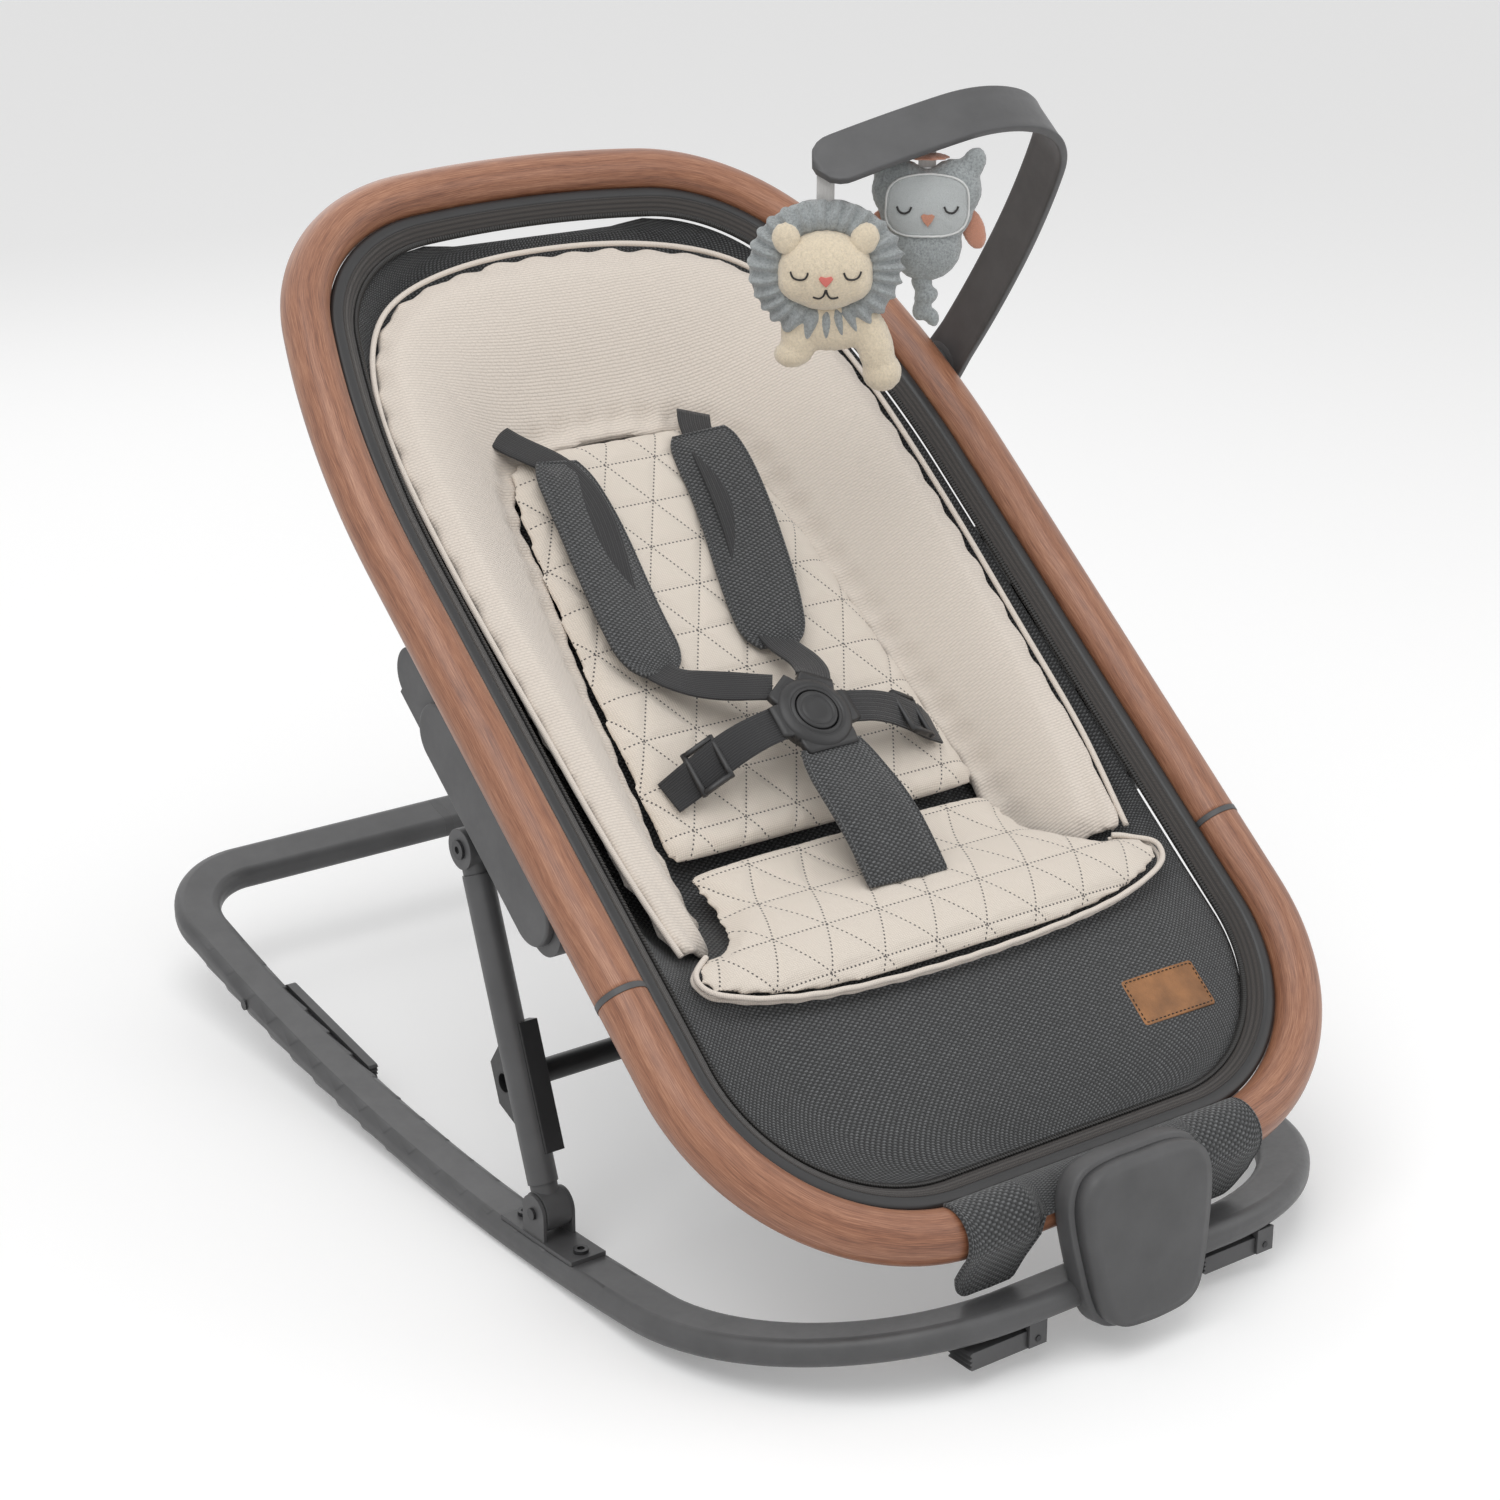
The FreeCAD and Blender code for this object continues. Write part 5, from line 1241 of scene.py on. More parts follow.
@dataclass
class QuiltedPad:
    """A stuffed pad whose upper face is stitched down along crossing lines."""

    name: str
    node: str
    rows: tuple[tuple[float, float, float], ...]
    thick: float
    depth: float = 1.5
    soft: float = 3.4
    squareness: float = 6.0

    def build(self) -> bpy.types.Object:
        """Make the pad: its closed shape, the filling, then the stitched lines."""
        table = np.array(self.rows)
        along = np.linspace(table[0, 0], table[-1, 0], 70)
        half = spline(table[:, 0], table[:, 1], along)
        level = spline(table[:, 0], table[:, 2], along)
        turn = np.linspace(0, 2 * math.pi, 90, endpoint=False)
        power = 2 / self.squareness
        x = np.sign(np.cos(turn)) * np.abs(np.cos(turn)) ** power
        n = np.sign(np.sin(turn)) * np.abs(np.sin(turn)) ** (2 / 2.6)
        ends = np.minimum(along - along[0], along[-1] - along)
        fat = np.sqrt(np.clip(1 - (1 - np.clip(ends / 9.0, 0, 1)) ** 2, 0.02, 1))
        points = np.empty((len(along), len(turn), 3))
        points[..., 0] = (half - 1.0)[:, None] * x[None]
        points[..., 1] = along[:, None]
        points[..., 2] = (level - self.thick / 2)[:, None] + (self.thick / 2 - 1.2) * fat[:, None] * n[None]
        placed = SEAT.place(points.reshape(-1, 3)).reshape(points.shape)
        pad = grid_piece(self.name, placed, closed_columns=True, caps=True)
        Stuffing(voxel=0.004, cap=0.0032).swell(pad)
        self.stitch(pad)
        box_map(pad)
        dress(pad, Slot.QUILT, "seat", self.node)
        return pad

    def stitch(self, pad: bpy.types.Object) -> None:
        """Pull the upper face down along the stitched lines."""
        spots = vertices_of(pad.data)
        drawn = SEAT.drawn(spots)
        facing = np.clip(normals_of(pad.data) @ np.array(SEAT.out), 0, 1)
        pitch = Finish.QUILT_PITCH / MM
        pulled = np.zeros(len(spots))
        for angle in Finish.QUILT_ANGLES:
            side = -drawn[:, 0] * math.sin(angle) + drawn[:, 1] * math.cos(angle)
            gap = np.abs((side / pitch + 0.5) % 1.0 - 0.5) * pitch
            pulled = np.maximum(pulled, np.exp(-(gap / self.soft) ** 2))
        pillow = 1.0 - pulled
        spots += np.outer((pillow - 0.75) * self.depth * MM * facing, np.array(SEAT.out))
        move_to(pad.data, spots)

    def edge(self) -> np.ndarray:
        """The pad's outline (x, s, n), all the way round."""
        table = np.array(self.rows)
        along = np.linspace(table[0, 0], table[-1, 0], 90)
        half = spline(table[:, 0], table[:, 1], along)
        level = spline(table[:, 0], table[:, 2], along) - self.thick / 2
        right = np.column_stack([half, along, level])
        return np.vstack([right, right[::-1] * (-1, 1, 1)])


BACK_PAD = QuiltedPad("back_quilt", "insert_back_pad", (
    (300, 118, -52), (312, 133, -51.5), (380, 128, -52), (478, 120, -51.5), (560, 110, -51), (612, 99, -50.5),
    (632, 86, -50.3), (641, 60, -50.3)), 11.5)
SEAT_FLAP = QuiltedPad("seat_quilt", "insert_seat_flap", (
    (166, 70, 6), (171, 122, 6.4), (179, 160, 6.6), (190, 184, 5), (203, 190, 1), (216, 178, -5), (230, 152, -13),
    (262, 134, -36), (300, 128, -50)), 11.0)


@dataclass
class FlapPiping:
    """Piped and gathered edge along the front of the seat flap."""

    radius: float = 1.9
    reach: float = 222.0

    def build(self) -> None:
        """Make the piping along the flap's front and corners."""
        edge = SEAT_FLAP.edge()
        count = len(edge) // 2
        right, left = edge[:count], edge[count:][::-1]
        right, left = right[right[:, 1] < self.reach], left[left[:, 1] < self.reach]
        line = curve_through(np.vstack([right[::-1][::4], left[::4]]), 320)
        line[:, 2] += 2.2
        run = run_length(line)
        line[:, 2] += 0.5 * np.sin(run / 4.3 + 1.2 * np.sin(run / 19))
        piping = tube("seat_quilt_piping", SEAT.place(line), self.radius * MM, 10)
        dress(piping, Slot.QUILT, "seat", finish=PALE_KNIT)
        lower = line - (0, 0, 5.2)
        lower[:, 2] += 0.6 * np.sin(run / 3.1)
        hem = tube("seat_quilt_hem", SEAT.place(lower), 1.5 * MM, 8)
        dress(hem, Slot.QUILT, "seat", finish=PALE_KNIT)


# ---------------------------------------------------------------- harness
@dataclass
class Strap:
    """A webbing strap through a few points, with the direction across it at each of them."""

    name: str
    points: tuple[tuple[float, float, float], ...]
    across: tuple[tuple[float, float, float], ...]
    wide: float = 25.0
    thick: float = 1.8
    count: int = 70

    def build(self, *stands_for: str) -> None:
        """Make the strap as a swept flat section."""
        knots = np.array(self.points, float)
        line = curve_through(knots, self.count)
        spread = run_length(knots)
        spread = spread / spread[-1]
        share = run_length(line)
        share = share / share[-1]
        side = np.stack([np.interp(share, spread, column) for column in np.array(self.across, float).T], 1)
        heading = np.gradient(line, axis=0)
        heading /= np.linalg.norm(heading, axis=1)[:, None]
        side -= heading * np.sum(side * heading, axis=1)[:, None]
        side /= np.linalg.norm(side, axis=1)[:, None]
        out = np.cross(heading, side)
        axes = np.array([PLAIN_AXES["X"], SEAT.up, SEAT.out])
        section = rounded_bar(self.wide, self.thick, self.thick * 0.42, 3, 6) * MM
        piece = sweep(self.name, SEAT.place(line), side @ axes, out @ axes, section)
        dress(piece, Slot.WEBBING, "seat", *stands_for)


@dataclass
class HarnessPad:
    """A stuffed sleeve with a stitched flat binding round it, along a centre line."""

    name: str
    line: tuple[tuple[float, float, float], ...]
    widths: tuple[tuple[float, float], ...]
    thick: float
    lean: float = 0.0
    binding: float = 6.0
    rows: int = 84
    columns: int = 40

    def build(self, *stands_for: str) -> None:
        """Make the pad, with a groove along its binding, and its binding cord."""
        line = curve_through(self.line, self.rows)
        share = np.linspace(0, 1, self.rows)
        table = np.array(self.widths)
        half = spline(table[:, 0], table[:, 1], share)
        heading = np.gradient(line, axis=0)
        heading /= np.linalg.norm(heading, axis=1)[:, None]
        lean = math.radians(self.lean)
        side = np.tile((math.cos(lean), 0.0, math.sin(lean)), (self.rows, 1))
        side -= heading * np.sum(side * heading, axis=1)[:, None]
        side /= np.linalg.norm(side, axis=1)[:, None]
        out = np.cross(side, heading)
        across = np.linspace(-1, 1, self.columns)
        length = run_length(line)
        ends = np.minimum(length, length[-1] - length)
        inset = np.minimum(half[:, None] * (1 - np.abs(across))[None], ends[:, None])
        puffed = np.clip((inset - self.binding) / 16.0, 0, 1)
        bulge = np.sqrt(np.clip(1 - (1 - puffed) ** 2, 0, 1))
        rim = np.sqrt(np.clip(1 - (1 - np.clip(inset / 2.2, 0, 1)) ** 2, 0, 1))
        groove = np.exp(-((inset - self.binding) / 1.3) ** 2)
        crease = 0.5 * np.sin(length / 6.5)[:, None] * np.cos(across * 3.0)[None] * puffed
        top = 1.6 * rim + (self.thick - 4.4) * bulge - 0.9 * groove + crease
        low = -1.4 * rim - 1.6 * bulge
        upper = line[:, None] + (half[:, None] * across[None])[..., None] * side[:, None] + top[..., None] * out[:, None]
        lower = line[:, None] + (half[:, None] * across[None])[..., None] * side[:, None] + low[..., None] * out[:, None]
        points = np.concatenate([upper, lower[:, ::-1][:, 1:-1]], 1)
        placed = SEAT.place(points.reshape(-1, 3)).reshape(points.shape)
        piece = grid_piece(self.name, placed, closed_columns=True, caps=True)
        piece.data.shade_smooth()
        smooth = piece.modifiers.new("Subdivision", "SUBSURF")
        smooth.levels = smooth.render_levels = 1
        settle(piece)
        dress(piece, Slot.CHARCOAL, "seat", *stands_for)
        right = line + (half - 0.6)[:, None] * side
        left = line - (half - 0.6)[:, None] * side
        loop = np.vstack([right, left[::-1]])
        dress(tube(self.name + "_binding", SEAT.place(loop), 1.7 * MM, 8, True), Slot.CHARCOAL, "seat")


@dataclass
class Buckle:
    """Round five-point buckle: body with side bars, ringed button, strap tongues."""

    centre: tuple[float, float, float] = (0.0, 366.0, -14.0)
    radius: float = 29.0
    high: float = 13.0

    def middle(self) -> Vector:
        """The buckle's middle, placed."""
        return SEAT.at(*self.centre)

    def build(self) -> None:
        """Make the body, the button and the four tongues."""
        half = self.high / 2
        body = lathe("buckle_shell", self.middle(), SEAT.out, (
            (0.01, -half), (24, -half), (26.6, -half + 1.2), (27.4, -1.0), (27.4, 1.5), (26.6, 3.4), (24.8, 4.9),
            (21.5, 5.9), (19.4, 6.2), (18.9, 5.4), (18.3, 5.4), (17.8, 6.3), (16.6, 6.5), (15.9, 6.1), (15.6, 3.0),
            (15.5, -2.0), (0.01, -2.0)), 72)
        dress(body, Slot.BLACK_PLASTIC, "seat", "buckle_body")
        button = lathe("buckle_push", self.middle(), SEAT.out, (
            (0.01, 1.6), (14.7, 1.6), (15.0, 2.2), (15.0, 5.6), (14.6, 6.5), (13.6, 6.9), (12.2, 6.9), (11.7, 6.3),
            (10.9, 6.3), (10.4, 6.8), (6.0, 6.35), (0.01, 6.1)), 64)
        dress(button, Slot.BLACK_PLASTIC, "buckle_button", "buckle_button")
        for number, (turn, wide) in enumerate(((58, 27), (122, 27), (0, 26), (180, 26), (270, 44))):
            self.tongue(number, math.radians(turn), wide)

    def tongue(self, number: int, turn: float, wide: float) -> None:
        """A flat tongue with round corners that carries a strap into the body."""
        away = Vector((math.cos(turn), math.sin(turn), 0))
        x, s, n = self.centre
        reach = 27.5 if number < 4 else 24.0
        line = np.array([(x + away.x * r, s + away.y * r, n + 0.2) for r in (reach - 9, reach - 4, reach, reach + 4.2)])
        side = np.tile((-away.y, away.x, 0.0), (4, 1))
        axes = np.array([PLAIN_AXES["X"], SEAT.up, SEAT.out])
        taper = np.array([1.0, 1.0, 0.97, 0.9])[:, None, None]
        section = rounded_bar(wide, 6.4, 2.0, 4) * MM * taper
        piece = sweep(f"buckle_tongue_{number}", SEAT.place(line), side @ axes,
                      np.tile(np.array(SEAT.out), (4, 1)), section)
        dress(piece, Slot.BLACK_PLASTIC, "seat")


@dataclass
class Harness:
    """Shoulder and waist straps, their pads, slide adjusters and buckle."""

    def build(self) -> None:
        """Make every piece of the harness."""
        flat = (1.0, 0.0, 0.0)
        Strap("shoulder_strap_left", ((-92, 652, -48), (-84, 640, -46.5), (-66, 618, -43), (-71, 500, -41),
                                      (-71, 434, -40), (-60, 420, -33), (-36, 405, -24), (-17, 394, -16)),
              (flat, flat, flat, flat, flat, (0.98, 0, 0.2), (0.94, 0.3, 0.16), (0.86, 0.5, 0.0))).build("shoulder_straps")
        Strap("shoulder_strap_right", ((70, 642, -48), (64, 630, -46), (59, 612, -43), (42, 520, -41),
                                       (27, 434, -38), (28, 420, -31), (24, 404, -22), (16, 393, -15)),
              (flat, flat, flat, flat, flat, flat, (0.95, -0.3, 0.1), (0.86, -0.5, 0.0))).build()
        up = (0.0, 1.0, 0.0)
        for side, sign in (("left", -1), ("right", 1)):
            line = ((sign * 28, 366, -14), (sign * 44, 364, -15.5), (sign * 72, 359, -24), (sign * 98, 352, -38),
                    (sign * 112, 349, -47.5))
            Strap("waist_strap_" + side, line, (up, up, (0, 0.97, 0.25), (0, 0.95, 0.3), up)).build(
                *(("waist_straps",) if sign < 0 else ()))
            self.adjuster(side, sign)
        HarnessPad("shoulder_pad_left", ((-62, 616, -42), (-64, 570, -41), (-70, 510, -41), (-73, 470, -41),
                                         (-73, 438, -42)),
                   ((0, 17), (0.06, 22), (0.2, 25.5), (0.5, 27), (0.85, 27), (0.96, 22), (1, 15)), 15.0, -8).build(
            "shoulder_pads")
        HarnessPad("shoulder_pad_right", ((60, 620, -42), (56, 575, -41), (44, 515, -41), (34, 475, -41),
                                          (25, 438, -42)),
                   ((0, 21), (0.05, 25), (0.2, 27), (0.6, 27), (0.86, 25), (0.96, 20), (1, 13)), 15.0, 10).build()
        HarnessPad("crotch_sleeve", ((0, 341, -14.5), (0, 320, -12.5), (-1, 298, -8.5), (-1, 266, -8), (-2, 234, -11)),
                   ((0, 24), (0.1, 27), (0.35, 30), (0.7, 31), (1, 31)), 9.5, 0, 5.0).build("crotch_pad")
        Buckle().build()

    def adjuster(self, side: str, sign: int) -> None:
        """Slide adjuster: a moulded frame of two bars and two cheeks round the waist strap."""
        line = np.array([(sign * x, 358.5 - (x - 72) * 0.2, n) for x, n in ((76, -24), (82, -26.6), (88, -29.8), (95, -33.6))])
        axes = np.array([PLAIN_AXES["X"], SEAT.up, SEAT.out])
        heading = np.gradient(line, axis=0)
        heading /= np.linalg.norm(heading, axis=1)[:, None]
        up = np.tile((0.0, 1.0, 0.0), (4, 1))
        out = np.cross(up, heading) * sign
        for number, at in enumerate((0, 3)):
            spot = SEAT.place(line[at:at + 1])[0]
            reach = np.array([-16.5, -8, 0, 8, 16.5]) * MM
            bar = np.array([spot + np.array(SEAT.up) * r for r in reach])
            piece = tube(f"adjuster_bar_{side}_{number}", bar, 2.1 * MM, 10)
            dress(piece, Slot.BLACK_PLASTIC, "seat")
        for number, shift in enumerate((-14.8, 14.8)):
            cheek = line + (0, shift, 0)
            section = rounded_bar(3.4, 5.0, 1.2, 4) * MM
            piece = sweep(f"adjuster_cheek_{side}_{number}", SEAT.place(cheek), up @ axes, out @ axes, section)
            dress(piece, Slot.BLACK_PLASTIC, "seat")


# ---------------------------------------------------------------- hard trims
@dataclass
class FrontCover:
    """Rounded shield in front of the hinge, with a pale ring let into its face."""

    top: Vector = field(default_factory=lambda: Vector((0.0, -0.407, 0.127)))
    low: Vector = field(default_factory=lambda: Vector((0.0, -0.421, 0.017)))
    deep: float = 13.0
    corners: tuple[tuple[float, float, float], ...] = ((45, 110, 20), (54, 82, 24), (47, 34, 40), (31, 2, 22))

    def outline(self, inset: float, count: int = 112) -> np.ndarray:
        """Points (x, y) round the shield, moved inwards by an inset, in millimetres."""
        right = np.array([(0, 113), (30, 112), (46, 106), (54, 91), (54.5, 76), (50.5, 50), (44, 22), (37, 8), (26, 1.5),
                          (12, -0.5), (0, -1)], float)
        loop = np.vstack([right, right[1:-1][::-1] * (-1, 1)])
        drawn = curve_through(np.vstack([loop, loop[:1]]), count + 1)[:-1]
        ahead = np.roll(drawn, -1, 0) - np.roll(drawn, 1, 0)
        normal = np.column_stack([ahead[:, 1], -ahead[:, 0]])
        normal /= np.linalg.norm(normal, axis=1)[:, None]
        inward = normal if np.sum(normal * (np.array((0, 55)) - drawn)) > 0 else -normal
        return drawn + inward * inset

    def layer(self, name: str, profile: Sequence[tuple[float, float]]) -> bpy.types.Object:
        """Stack outlines by inset and height out of the back plane, in millimetres."""
        up = (self.top - self.low).normalized()
        out = -PLAIN_AXES["X"].cross(up)
        rows = []
        for inset, height in profile:
            flat = self.outline(inset)
            dome = 3.0 * (1 - (flat[:, 0] / 56) ** 2) * (1 - ((flat[:, 1] - 56) / 62) ** 2)
            raised = height + np.clip(dome, 0, 3) * min(1.0, max(height, 0) / self.deep)
            rows.append(np.array(self.low) + MM * (flat[:, :1] * np.array(PLAIN_AXES["X"])
                                                   + flat[:, 1:] * np.array(up) + raised[:, None] * np.array(out)))
        return grid_piece(name, np.array(rows), False, True, True)

    def build(self) -> None:
        """Make the cover's shell and the ring."""
        deep = self.deep
        shell = self.layer("front_shield", ((0.8, -4.0), (0.0, -2.0), (0.0, deep - 6), (0.5, deep - 3.4), (1.8, deep - 1.3),
                                            (4.0, deep - 0.2), (7.4, deep), (8.2, deep - 0.2), (8.6, deep - 1.2),
                                            (15.4, deep - 1.2), (15.8, deep - 0.3), (17.0, deep), (28.0, deep + 0.1),
                                            (44.0, deep + 0.2)))
        dress(shell, Slot.GREY_PLASTIC, "seat", "front_cover")
        ring = self.layer("front_shield_ring", ((8.8, deep - 1.4), (8.8, deep + 0.1), (9.4, deep + 0.5), (12.0, deep + 0.7),
                                                (14.6, deep + 0.5), (15.2, deep + 0.1), (15.2, deep - 1.4)))
        dress(ring, Slot.WHITE, "seat", "cover_ring")
        skirt = self.layer("front_shield_skirt", ((3.5, -3.8), (3.0, -10.0), (4.0, -16.0), (10.0, -17.0)))
        dress(skirt, Slot.GREY_PLASTIC, "seat")


@dataclass
class Label:
    """Blank leather label with a stitched edge on the foot panel."""

    low: tuple[float, float] = (101.0, 85.0)
    size: tuple[float, float] = (64.0, 34.0)
    level: float = -6.2
    stitch: float = 3.6

    def build(self) -> None:
        """Make the label as a thin pillow and its stitches."""
        x0, s0 = self.low
        wide, high = self.size
        rows = []
        for inset, rise in ((0.0, -0.6), (0.0, 0.5), (0.25, 0.9), (0.8, 1.1), (2.4, 1.0), (3.0, 1.2), (12.0, 1.35), (16.0, 1.35)):
            flat = rounded_bar(wide - 2 * inset, high - 2 * inset, max(0.6, 2.4 - inset * 0.1), 5, 10)
            flat = flat + (x0 + wide / 2, s0 + high / 2)
            rows.append(SEAT.place(np.column_stack([flat, self.sag(flat) + rise])))
        label = grid_piece("side_label", np.array(rows), False, True, True)
        dress(label, Slot.LEATHER, "seat", "leather_label")
        self.stitches(x0, s0, wide, high)

    def sag(self, flat: np.ndarray) -> np.ndarray:
        """Level of the fabric under the label."""
        return self.level - 0.9 * np.clip((flat[:, 0] - 118) / 50, 0, 1) ** 2 * 2

    def stitches(self, x0: float, s0: float, wide: float, high: float) -> None:
        """Short stitches round the label's edge, joined into one piece."""
        flat = rounded_bar(wide - 4, high - 4, 1.5, 3, 14) + (x0 + wide / 2, s0 + high / 2)
        run = run_length(flat, True)
        loop = np.vstack([flat, flat[:1]])
        verts: list[np.ndarray] = []
        faces: list[tuple[int, ...]] = []
        for at in np.arange(0, run[-1] - self.stitch * 0.6, self.stitch):
            spots = np.array([[np.interp(at + part, run, loop[:, k]) for k in (0, 1)] for part in (0.0, 0.9, 1.8)])
            line = SEAT.place(np.column_stack([spots, self.sag(spots) + (1.2, 1.55, 1.2)]))
            heading = (line[-1] - line[0]) / max(np.linalg.norm(line[-1] - line[0]), 1e-9)
            side = np.cross(heading, np.array(SEAT.out))
            first = len(verts)
            for spot in line:
                for turn in np.linspace(0, 2 * math.pi, 6, endpoint=False):
                    verts.append(spot + 0.35 * MM * (math.cos(turn) * side + math.sin(turn) * np.array(SEAT.out)))
            for row in range(2):
                for j in range(6):
                    a = first + row * 6
                    faces.append((a + j, a + (j + 1) % 6, a + 6 + (j + 1) % 6, a + 6 + j))
            faces += [tuple(range(first, first + 6))[::-1], tuple(range(first + 12, first + 18))]
        piece = mesh_piece("side_label_stitches", np.array(verts), faces)
        turn_outwards(piece)
        dress(piece, Slot.LEATHER, "seat", finish=DARK_THREAD)


@dataclass
class ToyBar:
    """Bent flat strip with raised edges, from its pivot at the frame's side over the seat."""

    station: float = 618.0
    level: float = -8.0
    start: float = 263.0
    bends: tuple[tuple[float, float], ...] = ((950, 8.0), (700, 8.0), (72, 56.0), (110, 34.0), (900, 6.5))
    wide: float = 37.0
    thick: float = 6.0

    def line(self) -> tuple[np.ndarray, np.ndarray]:
        """Points (x, n) of the strip's middle and the outward direction at each."""
        heading, x, n = 0.0, self.start, self.level
        spots, outs = [], []
        for radius, turn in self.bends:
            centre = (x - radius * math.cos(heading), n - radius * math.sin(heading))
            last = heading + math.radians(turn)
            for angle in np.linspace(heading, last, max(5, int(radius * (last - heading) / 5)), endpoint=False):
                spots.append((centre[0] + radius * math.cos(angle), centre[1] + radius * math.sin(angle)))
                outs.append((math.cos(angle), math.sin(angle)))
            heading = last
            x, n = centre[0] + radius * math.cos(heading), centre[1] + radius * math.sin(heading)
        spots.append((x, n))
        outs.append((math.cos(heading), math.sin(heading)))
        return np.array(spots), np.array(outs)

    def build(self) -> None:
        """Make the strip: a narrower round tip, a round foot and its cap."""
        spots, outs = self.line()
        run = run_length(spots)
        left = run[-1] - run
        tip = self.wide / 2
        narrow = np.where(left < tip, np.sqrt(np.clip(1 - (1 - left / tip) ** 2, 0.02, 1)), 1.0)
        foot = 1 + 0.10 * np.clip(1 - run / 30, 0, 1)
        line = SEAT.place(np.column_stack([spots[:, 0], np.full(len(spots), self.station), spots[:, 1]]))
        across = np.tile(np.array(SEAT.up), (len(line), 1))
        out = outs[:, :1] * np.array(PLAIN_AXES["X"]) + outs[:, 1:] * np.array(SEAT.out)
        flat = rounded_bar(self.wide, self.thick, 1.5, 4, 8)
        dished = flat.copy()
        dished[:, 1] -= np.sign(flat[:, 1]) * 0.45 * np.clip((self.wide / 2 - 2.6 - np.abs(flat[:, 0])) / 0.8, 0, 1)
        sections = dished[None] * np.column_stack([narrow * foot, np.ones(len(narrow))])[:, None] * MM
        strip = sweep("toy_bar_strip", line, across, out, sections)
        dress(strip, Slot.GREY_PLASTIC, "toy_bar", "toy_bar")
        axis = PLAIN_AXES["X"]
        foot_disc = lathe("toy_bar_foot", SEAT.at(self.start, self.station, self.level), axis, (
            (0.01, -3.0), (18.6, -3.0), (20.0, -2.0), (20.0, 2.2), (18.8, 3.2), (12.5, 3.6), (12.0, 3.0), (0.01, 3.0)), 64)
        dress(foot_disc, Slot.GREY_PLASTIC, "toy_bar")


# ---------------------------------------------------------------- plush toys
@dataclass
class PlushToy:
    """Shared tools of the hanging toys: blobs, felt patches, cords on a surface."""

    node: str
    body: str
    yaw: float = math.radians(-36)
    fur: float = 0.0016

    def __post_init__(self) -> None:
        """Find the toy's place from its CAD node."""
        low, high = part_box(self.node)
        ribbon_low, ribbon_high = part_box(self.node + "_ribbon")
        self.top = Vector(((ribbon_low.x + ribbon_high.x) / 2, (ribbon_low.y + ribbon_high.y) / 2, high.z))
        self.ribbon_top = ribbon_high.z
        self.right = Vector((math.cos(self.yaw), math.sin(self.yaw), 0.0))
        self.front = Vector((math.sin(self.yaw), -math.cos(self.yaw), 0.0))

    def at(self, right: float, front: float, up: float) -> Vector:
        """A point from the top of the toy, in millimetres to its right, front and up."""
        return self.top + MM * (float(right) * self.right + float(front) * self.front + float(up) * PLAIN_AXES["Z"])

    def blob(self, name: str, parts: Sequence[tuple[tuple[float, float, float], tuple[float, float, float], float]],
             slot: Slot, voxel: float = 0.0018, pile: float = 0.35) -> bpy.types.Object:
        """Join stretched balls into one soft skin.

        Args:
            name: the piece's name.
            parts: centre, half sizes and turn about the front direction of each ball, in mm and degrees.
            slot: the material slot.
            voxel: size of the skin's mesh, in metres.
            pile: height of the pile's unevenness, in mm.

        Returns:
            The skin, dressed.
        """
        verts: list[Vector] = []
        faces: list[tuple[int, ...]] = []
        for (right, front, up), sizes, turn in parts:
            work = bmesh.new()
            bmesh.ops.create_icosphere(work, subdivisions=4, radius=1.0)
            first = len(verts)
            angle = math.radians(turn)
            for vert in work.verts:
                x, y, z = (component * size for component, size in zip(vert.co, sizes))
                x, z = x * math.cos(angle) - z * math.sin(angle), x * math.sin(angle) + z * math.cos(angle)
                verts.append(self.at(right + x, front + y, up + z))
            faces += [tuple(first + v.index for v in face.verts) for face in work.faces]
            work.free()
        piece = mesh_piece(name, np.array(verts), faces)
        remesh = piece.modifiers.new("Remesh", "REMESH")
        remesh.mode = "VOXEL"
        remesh.voxel_size = voxel
        smooth = piece.modifiers.new("Smooth", "SMOOTH")
        smooth.factor, smooth.iterations = 0.6, 6
        settle(piece)
        spots, normals = vertices_of(piece.data), normals_of(piece.data)
        wave = sum(np.sin(spots @ np.array(way) * pace + shift) for way, pace, shift in (
            ((1, 0.3, 0.2), 1900, 0.3), ((0.2, 1, -0.4), 2300, 1.1), ((-0.3, 0.2, 1), 2100, 2.0), ((0.7, -0.6, 0.5), 900, 0.7)))
        move_to(piece.data, spots + normals * (wave * pile * MM / 4)[:, None])
        piece.data.shade_smooth()
        return dress(piece, slot, self.body)

    def skin(self, *pieces: bpy.types.Object) -> BVHTree:
        """A tree to find points on the surface of some pieces."""
        verts: list[Vector] = []
        faces: list[tuple[int, ...]] = []
        for piece in pieces:
            first = len(verts)
            verts += [piece.matrix_world @ v.co for v in piece.data.vertices]
            faces += [tuple(first + i for i in face.vertices) for face in piece.data.polygons]
        return BVHTree.FromPolygons(verts, faces)

    def on(self, skin: BVHTree, right: float, up: float, lift: float) -> np.ndarray:
        """The point of the skin seen from the front at a place, lifted off it, in millimetres."""
        start = self.at(right, 90, up)
        hit, normal, _, _ = skin.ray_cast(start, -self.front)
        if hit is None:
            hit, normal = self.at(right, 0, up), self.front
        return np.array(hit + MM * lift * normal)

    def cord(self, name: str, skin: BVHTree, drawn: Sequence[tuple[float, float]], radius: float, finish: object,
             slot: Slot, count: int = 24, closed: bool = False, lift: float = 0.2) -> None:
        """A thread sewn on the skin along a few points (right, up)."""
        line = curve_through([*drawn, drawn[0]] if closed else drawn, count)
        if closed:
            line = line[:-1]
        placed = np.array([self.on(skin, x, z, lift) for x, z in line])
        dress(tube(name, placed, radius * MM, 6, closed), slot, self.body, finish=finish)

